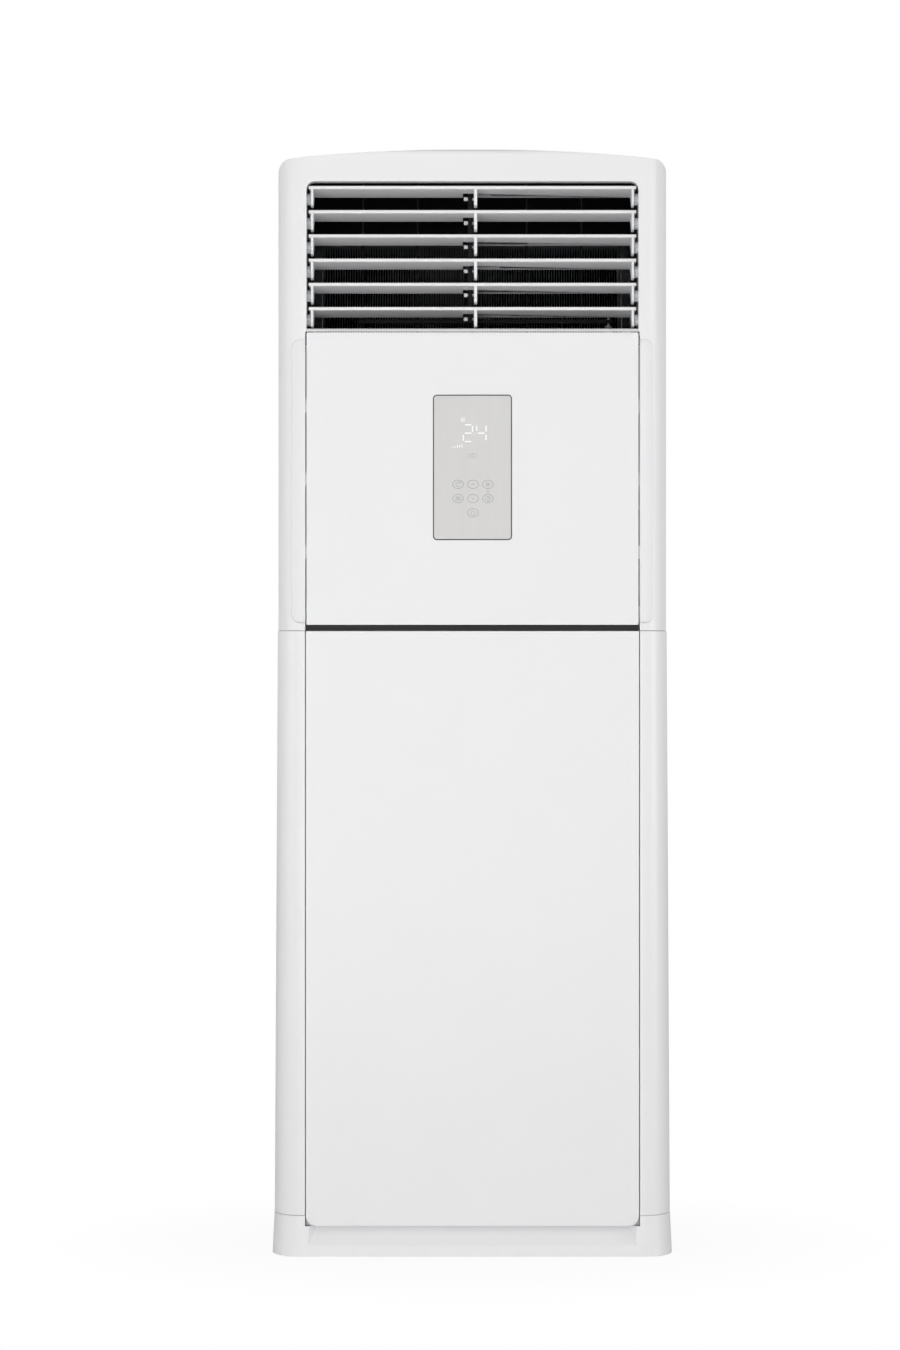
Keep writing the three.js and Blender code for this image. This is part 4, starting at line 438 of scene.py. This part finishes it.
fins = grown("coil_fins", fin_tree, {
    "Width": high.x - low.x - FIN_PITCH, "Depth": COIL_DEPTH - 2 * COIL_SKIN, "Height": coil_tall})
core = bmesh.new()
core.from_mesh(fins.data)
back_row = bmesh.ops.create_cube(core, size=1.0)["verts"]
bmesh.ops.scale(core, vec=(high.x - low.x, FIN_PITCH, coil_tall - 2 * COIL_SKIN), verts=back_row)
bmesh.ops.translate(core, vec=(0, COIL_DEPTH / 2 - FIN_PITCH, 0), verts=back_row)
for corner in core.verts:
    if corner not in back_row:
        corner.co.x += low.x + FIN_PITCH
core.transform(Matrix.Translation((0, low.y + COIL_DEPTH / 2 * math.cos(COIL_LEAN),
                                   low.z + COIL_DEPTH / 2 * math.sin(COIL_LEAN)))
               @ Matrix.Rotation(-COIL_LEAN, 4, "X") @ Matrix.Translation((0, 0, coil_tall / 2)))
core.to_mesh(fins.data)
core.free()
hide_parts("evaporator_coil")
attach(fins, "cabinet")

# ---------------------------------------------------------------- outlet duct and vertical vanes
# An ABS duct with its hood leads the air forward past five vertical vanes, which
# turn on pins in its floor and ceiling and are ganged by one link and a small motor's crank.
# The duct and the vertical vanes are coloured near black as painted shade of the deep outlet;
# the same finely textured black is the own colour of the link rods and the terminal block.
black_abs_and_painted_shade = coated("black_abs_and_painted_outlet_shade", "#101112", 0.5, grain=0.001, relief=0.08, shine=0.3)
eased("duct_moulding", "outlet_duct", "cabinet", black_abs_and_painted_shade, edge=0.0004)
for i in range(1, 6):
    eased(f"vertical_vane_{i}_blade", f"vertical_vane_{i}", f"finger_{i}", black_abs_and_painted_shade,
          edge=0.0004)
eased("swing_link_rod", "swing_link_bar", "swing_link", black_abs_and_painted_shade, edge=0.0004)
eased("mains_terminals", "terminal_block", "cabinet", black_abs_and_painted_shade, edge=0.0004)
eased("crank_arm", "swing_crank", "crank", natural_abs, edge=0.0004)
eased("geared_motor", "swing_motor", "cabinet", spangled_zinc, edge=0.0004)

# ---------------------------------------------------------------- horizontal vanes
# Six white blades with a rolled front edge tilt together on pins in two moulded side frames;
# a black bar hooked on a peg of each blade keeps them in step.
for side in ("left", "right"):
    eased(f"louvre_{side}_frame", f"louvre_frame_{side}", "cabinet", natural_abs,
          edge=0.0004)
for i in range(1, 7):
    eased(f"horizontal_vane_{i}_blade", f"horizontal_vane_{i}", f"vane_{i}", satin_abs,
          edge=0.0006)
eased("vane_link_rod", "vane_link_bar", "vane_link", black_abs_and_painted_shade, edge=0.0005)

# ---------------------------------------------------------------- upper cabinet
# One deep ABS moulding makes the arched crown, both columns with their long finger recesses
# and the bevelled sill; a short lip turns in over the vanes. A moulded cover and coated steel
# sheets close it behind.
eased("front_frame_moulding", "upper_front_frame", "cabinet", satin_abs)
LIP_DEPTH = (0.0028, 0.027)
LIP_THICK = 0.002
OPENING_HALF, OPENING_TOP, OPENING_R = 0.2547, 1.6506, 0.012
LIP_STEPS = 6
low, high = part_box("upper_front_frame")
rim = []
for reach in (0, LIP_THICK):
    turned = []
    for start, mid_x in ((0, OPENING_HALF - OPENING_R), (90, OPENING_R - OPENING_HALF)):
        for i in range(LIP_STEPS + 1):
            turn = math.radians(start + 90 * i / LIP_STEPS)
            turned.append((mid_x + (OPENING_R + reach) * math.cos(turn),
                           OPENING_TOP - OPENING_R + (OPENING_R + reach) * math.sin(turn)))
    rim += turned if reach else turned[::-1]
slab("opening_lip", rim, low.y + LIP_DEPTH[0], low.y + LIP_DEPTH[1], satin_abs)
eased("top_cover_moulding", "top_cover", "cabinet", satin_abs)
for side in ("left", "right"):
    eased(f"upper_side_{side}_sheet", f"upper_side_panel_{side}", "cabinet", powder_coat,
          edge=0.0005)

# ---------------------------------------------------------------- back panel
# A coated steel sheet with three pressed fields, a closed knock-out for the pipes and a rubber
# grommet. Plated countersunk screws, flush in their holes, hold it along both sides.
HEAD_R = 0.0042
HEAD_THICK = 0.001
HEAD_SUNK = 0.0002
HOLE_FIT = 0.0003
DRIVE_BAR = 0.0009
SCREWS = 9
SCREW_IN = 0.009
SCREW_MARGIN = 0.05
HOLE_DEEP = 0.01
HEAD_SIDES = 24
# Bright zinc over steel gives each small head a cold glint.
plated = coated("bright_zinc_plate", "#C9CCCE", 0.3, metal=1.0, grain=0.002, relief=0.03)
back = eased("back_sheet", "back_panel", "cabinet", powder_coat, edge=0.0005)
eased("lead_grommet", "cable_grommet", "cabinet", moulded_rubber, edge=0.0005, steps=3)

low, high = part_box("back_panel")
screw_pitch = (high.z - low.z - 2 * SCREW_MARGIN) / (SCREWS - 1)
screw_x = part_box("upper_front_frame")[1].x - SCREW_IN
holes = bpy.data.objects.new("screw_holes", bpy.data.meshes.new("screw_holes"))
scene.collection.objects.link(holes)
drill = bmesh.new()
for x in (-screw_x, screw_x):
    for i in range(SCREWS):
        bmesh.ops.create_cone(
            drill, cap_ends=True, segments=HEAD_SIDES, depth=HOLE_DEEP,
            radius1=HEAD_R + HOLE_FIT, radius2=HEAD_R + HOLE_FIT,
            matrix=Matrix.Translation((x, high.y, low.z + SCREW_MARGIN + i * screw_pitch))
            @ Matrix.Rotation(math.radians(90), 4, "X"))
drill.to_mesh(holes.data)
drill.free()
drilled = back.modifiers.new("drilled", "BOOLEAN")
drilled.object = holes
plain_mesh(back)
bpy.data.objects.remove(holes)

screw_tree, given, out = node_tree("screw_row", {
    "Count": SCREWS, "Pitch": 0.1, "Head": HEAD_R, "Thick": HEAD_THICK, "Bar": DRIVE_BAR})
step = add(screw_tree, "ShaderNodeCombineXYZ", (), {2: given.outputs["Pitch"]})
row = add(screw_tree, "GeometryNodeMeshLine", (),
          {"Count": given.outputs["Count"], "Offset": step.outputs[0]})
disc = add(screw_tree, "GeometryNodeMeshCylinder", {"Vertices": HEAD_SIDES},
           {"Radius": given.outputs["Head"], "Depth": given.outputs["Thick"]})
head = add(screw_tree, "GeometryNodeTransform", {"Rotation": (math.radians(90), 0, 0)},
           {"Geometry": disc.outputs[0]})
out_by = add(screw_tree, "ShaderNodeCombineXYZ", (), {1: given.outputs["Thick"]})
cross = add(screw_tree, "GeometryNodeJoinGeometry")
for across, along in ((0, 2), (2, 0)):
    size = add(screw_tree, "ShaderNodeCombineXYZ", (),
               {1: given.outputs["Thick"], across: given.outputs["Bar"], along: given.outputs["Head"]})
    bar = add(screw_tree, "GeometryNodeMeshCube", (), {"Size": size.outputs[0]})
    moved = add(screw_tree, "GeometryNodeTransform", (),
                {"Geometry": bar.outputs[0], "Translation": out_by.outputs[0]})
    screw_tree.links.new(moved.outputs[0], cross.inputs[0])
driven = add(screw_tree, "GeometryNodeMeshBoolean", {"operation": "DIFFERENCE"},
             {0: head.outputs[0], 1: cross.outputs[0]})
screws = add(screw_tree, "GeometryNodeInstanceOnPoints", (),
             {"Points": row.outputs[0], "Instance": driven.outputs[0]})
real = add(screw_tree, "GeometryNodeRealizeInstances", (), {0: screws.outputs[0]})
done = add(screw_tree, "GeometryNodeSetMaterial", {"Material": plated}, {"Geometry": real.outputs[0]})
screw_tree.links.new(done.outputs[0], out.inputs[0])
for side, x in (("left", -screw_x), ("right", screw_x)):
    screws = grown(f"back_screws_{side}", screw_tree, {"Pitch": screw_pitch})
    first = (x, high.y - HEAD_SUNK - HEAD_THICK / 2, low.z + SCREW_MARGIN)
    screws.data.transform(Matrix.Translation(first))
    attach(screws, "cabinet")

# ---------------------------------------------------------------- control panel and trim strip
# The panel is one satin ABS tray, clipped between the columns, with a window for the display.
# Under it runs a strip of black ABS moulded in a mirror-polished tool.
# The strip mirrors the room darkly; its 20 mm grain is the slow waviness of a long moulding.
polished_abs = coated("polished_black_abs", "#0E0E0F", 0.1, grain=0.02, relief=0.01, vary=0.03)
eased("control_panel_moulding", "control_panel", "cabinet", satin_abs)
eased("trim_strip_moulding", "trim_strip", "cabinet", polished_abs, edge=0.0008, steps=3)

# ---------------------------------------------------------------- display
# An aluminium plate brushed upright with a bevelled edge, bedded on a grey gasket in the window,
# so that a narrow dark joint runs round it. It keeps the outline of the window's CAD plate.
WINDOW_HALF = 0.06035
WINDOW_LOW, WINDOW_HIGH = 1.1002, 1.3228
WINDOW_R = 0.006
PLATE_Y = -0.1844
JOINT = 0.0011
BEVEL = 0.0007
GASKET_Y = -0.1826
LIP = 0.004
LIP_Y = (-0.1817, -0.1787)
LEAST_R = 0.002
CORNER_STEPS = 8
# Brushing makes the metal a pale satin with upright lines. Its scratches are about 0.05 mm wide;
# they are drawn 0.9 mm wide and 75 mm long, so that they show.
brushed_plate = coated("brushed_aluminium_plate", "#E2E1E0", 0.36, metal=0.6, grain=0.0009, relief=0.03,
                       vary=0.06, cloud=0.011, stretch=(1, 1, 0.012), tint=0.03)
# Foam rubber is dull and dark, and draws the joint round the plate.
grey_gasket = coated("grey_foam_gasket", "#2E3032", 0.85, grain=0.0012, relief=0.2)


def bedded(name, rings, finish):
    """A rounded rectangular plate through rings of inset and depth, front first."""
    shape = bmesh.new()
    loops = []
    for inset, y in rings:
        radius = max(WINDOW_R - inset, LEAST_R)
        corners = []
        for quarter, (way_x, way_z) in enumerate(((1, 1), (-1, 1), (-1, -1), (1, -1))):
            mid_x = way_x * (WINDOW_HALF - inset - radius)
            mid_z = WINDOW_HIGH - inset - radius if way_z > 0 else WINDOW_LOW + inset + radius
            for i in range(CORNER_STEPS + 1):
                turn = math.radians(90 * quarter + 90 * i / CORNER_STEPS)
                corners.append((mid_x + radius * math.cos(turn), y, mid_z + radius * math.sin(turn)))
        loops.append([shape.verts.new(place) for place in corners])
    for outer, inner in zip(loops[1:], loops):
        for i in range(len(inner)):
            j = (i + 1) % len(inner)
            shape.faces.new((inner[i], inner[j], outer[j], outer[i]))
    shape.faces.new(loops[0])
    shape.faces.new(reversed(loops[-1]))
    bmesh.ops.recalc_face_normals(shape, faces=shape.faces)
    mesh = bpy.data.meshes.new(name)
    shape.to_mesh(mesh)
    shape.free()
    mesh.materials.append(finish)
    piece = bpy.data.objects.new(name, mesh)
    scene.collection.objects.link(piece)
    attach(piece, "cabinet")
    return piece


plate = bedded("display_plate", [(JOINT + BEVEL, PLATE_Y), (JOINT, PLATE_Y + BEVEL), (JOINT, GASKET_Y)],
               brushed_plate)
gasket = bedded("display_gasket", [(0, GASKET_Y), (0, LIP_Y[0]), (-LIP, LIP_Y[0]), (-LIP, LIP_Y[1])],
                grey_gasket)
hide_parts("display_window")

# ---------------------------------------------------------------- display marks
# White light segments shine through the plate: a temperature, a snowflake and a fan gauge.
# Seven touch keys with plain symbols, a lock mark and the remote eye are printed in grey.
SEGMENT = 1.5
RING = 0.55
FINE = 0.45
THIN = 0.3
KEY = (8.2, 6.45)
INK = 0.00005
CAP_STEPS = 6
MM = 0.001
GLOW = 0.25
# A diffuser lit from behind is white and a little brighter than the plate.
light_white = coated("lit_white_segment", "#FFFFFF", 0.5, grain=0.0006, relief=0.02)
segment = next(node for node in light_white.node_tree.nodes if node.type == "BSDF_PRINCIPLED")
segment.inputs["Emission Color"].default_value = linear("#FFFFFF")
segment.inputs["Emission Strength"].default_value = GLOW
# Screen ink dries matt, a tone darker than the plate.
grey_ink = coated("grey_screen_ink", "#8E9093", 0.5, grain=0.0006, relief=0.02)


def drawn(name, strokes, finish):
    """Round-ended strokes on the plate, each a list of points in millimetres and a width."""
    shape = bmesh.new()
    for points, width in strokes:
        for (x1, z1), (x2, z2) in zip(points, points[1:]):
            scale = width / 2 / math.hypot(x2 - x1, z2 - z1)
            along_x, along_z = (x2 - x1) * scale, (z2 - z1) * scale
            ring = []
            for x, z, way in ((x1, z1, -1), (x2, z2, 1)):
                for i in range(CAP_STEPS + 1):
                    turn = math.radians(180 * i / CAP_STEPS - 90)
                    cos, sin = math.cos(turn), math.sin(turn)
                    ring.append((MM * (x + way * (along_x * cos - along_z * sin)),
                                 MM * (z + way * (along_z * cos + along_x * sin))))
            block(shape, ring, PLATE_Y - INK, PLATE_Y)
    bmesh.ops.recalc_face_normals(shape, faces=shape.faces)
    mesh = bpy.data.meshes.new(name)
    shape.to_mesh(mesh)
    shape.free()
    mesh.materials.append(finish)
    piece = bpy.data.objects.new(name, mesh)
    scene.collection.objects.link(piece)
    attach(piece, "cabinet")


def curve(x, z, wide, tall, start, stop, steps):
    """Points along part of an ellipse, in degrees."""
    turns = [math.radians(start + (stop - start) * i / steps) for i in range(steps + 1)]
    return [(x + wide * math.cos(turn), z + tall * math.sin(turn)) for turn in turns]


LEVELS = (1276.8, 1263.9, 1251.1)
lit = [([(-11, z), (-2.4, z)], SEGMENT) for z in LEVELS]
lit += [([(0, 1274.3), (0, 1267)], SEGMENT), ([(-13.9, 1260.4), (-13.9, 1253.2)], SEGMENT)]
lit += [([(6.4, 1274.3), (6.9, 1268.6)], SEGMENT), ([(9.2, LEVELS[1]), (17.4, LEVELS[1])], SEGMENT)]
lit += [([(20.9, 1274.7), (20.9, 1267)], SEGMENT), ([(20.9, 1260.7), (20.9, 1253.6)], SEGMENT)]
for arm in range(6):
    middle, tip, barb, fork, other_barb = (
        curve(-14.7, 1284.8, reach, reach, 60 * arm + angle, 60 * arm, 1)[0]
        for reach, angle in ((0, 30), (4, 30), (3.6, 50), (2.4, 30), (3.6, 10)))
    lit += [([middle, tip], THIN), ([barb, fork, other_barb], THIN)]
lit += [([(-30.5 + 3.6 * i, 1242.2), (-30.5 + 3.6 * i, 1243.2 + 0.8 * i)], 0.9) for i in range(5)]
drawn("display_segments", lit, light_white)

marks = {
    "mode": [curve(0, 0, 3.4, 3.4, 40, 320, 16), [(4.2, 3.4), (2.7, 2.2), (4.4, 1.2)]],
    "warmer": [[(-2.6, -1.2), (0, 1.3), (2.6, -1.2)]],
    "fan": [curve(1.9 * math.cos(a), 1.9 * math.sin(a), 1.9, 1.3, 0, 360, 12) for a in (0, 2.094, 4.189)],
    "swing": [[(x / 2, off + 0.6 * math.sin(x * 1.05)) for x in range(-8, 9)] for off in (-2.3, 0, 2.3)],
    "cooler": [[(-2.6, 1.2), (0, -1.3), (2.6, 1.2)]],
    "timer": [curve(0, 0, 3.8, 3.8, 0, 360, 24), [(0, 2.4), (0, 0), (1.9, -0.9)]],
    "power": [curve(0, -0.4, 3.4, 3.4, 120, 420, 18), [(0, 0.8), (0, 4.1)]],
}
KEYS = {
    "mode": (-22.2, 1185.5), "warmer": (0.8, 1185.5), "fan": (23.7, 1185.5),
    "swing": (-22.2, 1163.7), "cooler": (0.8, 1163.7), "timer": (23.7, 1163.7), "power": (0.8, 1141.9),
}
inked = [(curve(0, 1229.3, 7.2, 3.6, 0, 360, 32), THIN), (curve(0, 1229.3, 2.6, 1.7, 0, 360, 20), THIN)]
for name, (x, z) in KEYS.items():
    inked.append((curve(x, z, *KEY, 0, 360, 48), RING))
    inked += [([(x + u, z + v) for u, v in line], FINE) for line in marks[name]]
inked += [([(22, 1173), (25.4, 1173), (25.4, 1175.4), (22, 1175.4), (22, 1173)], THIN),
          (curve(23.7, 1175.4, 1.2, 1.7, 0, 180, 8), THIN)]
drawn("display_key_marks", inked, grey_ink)
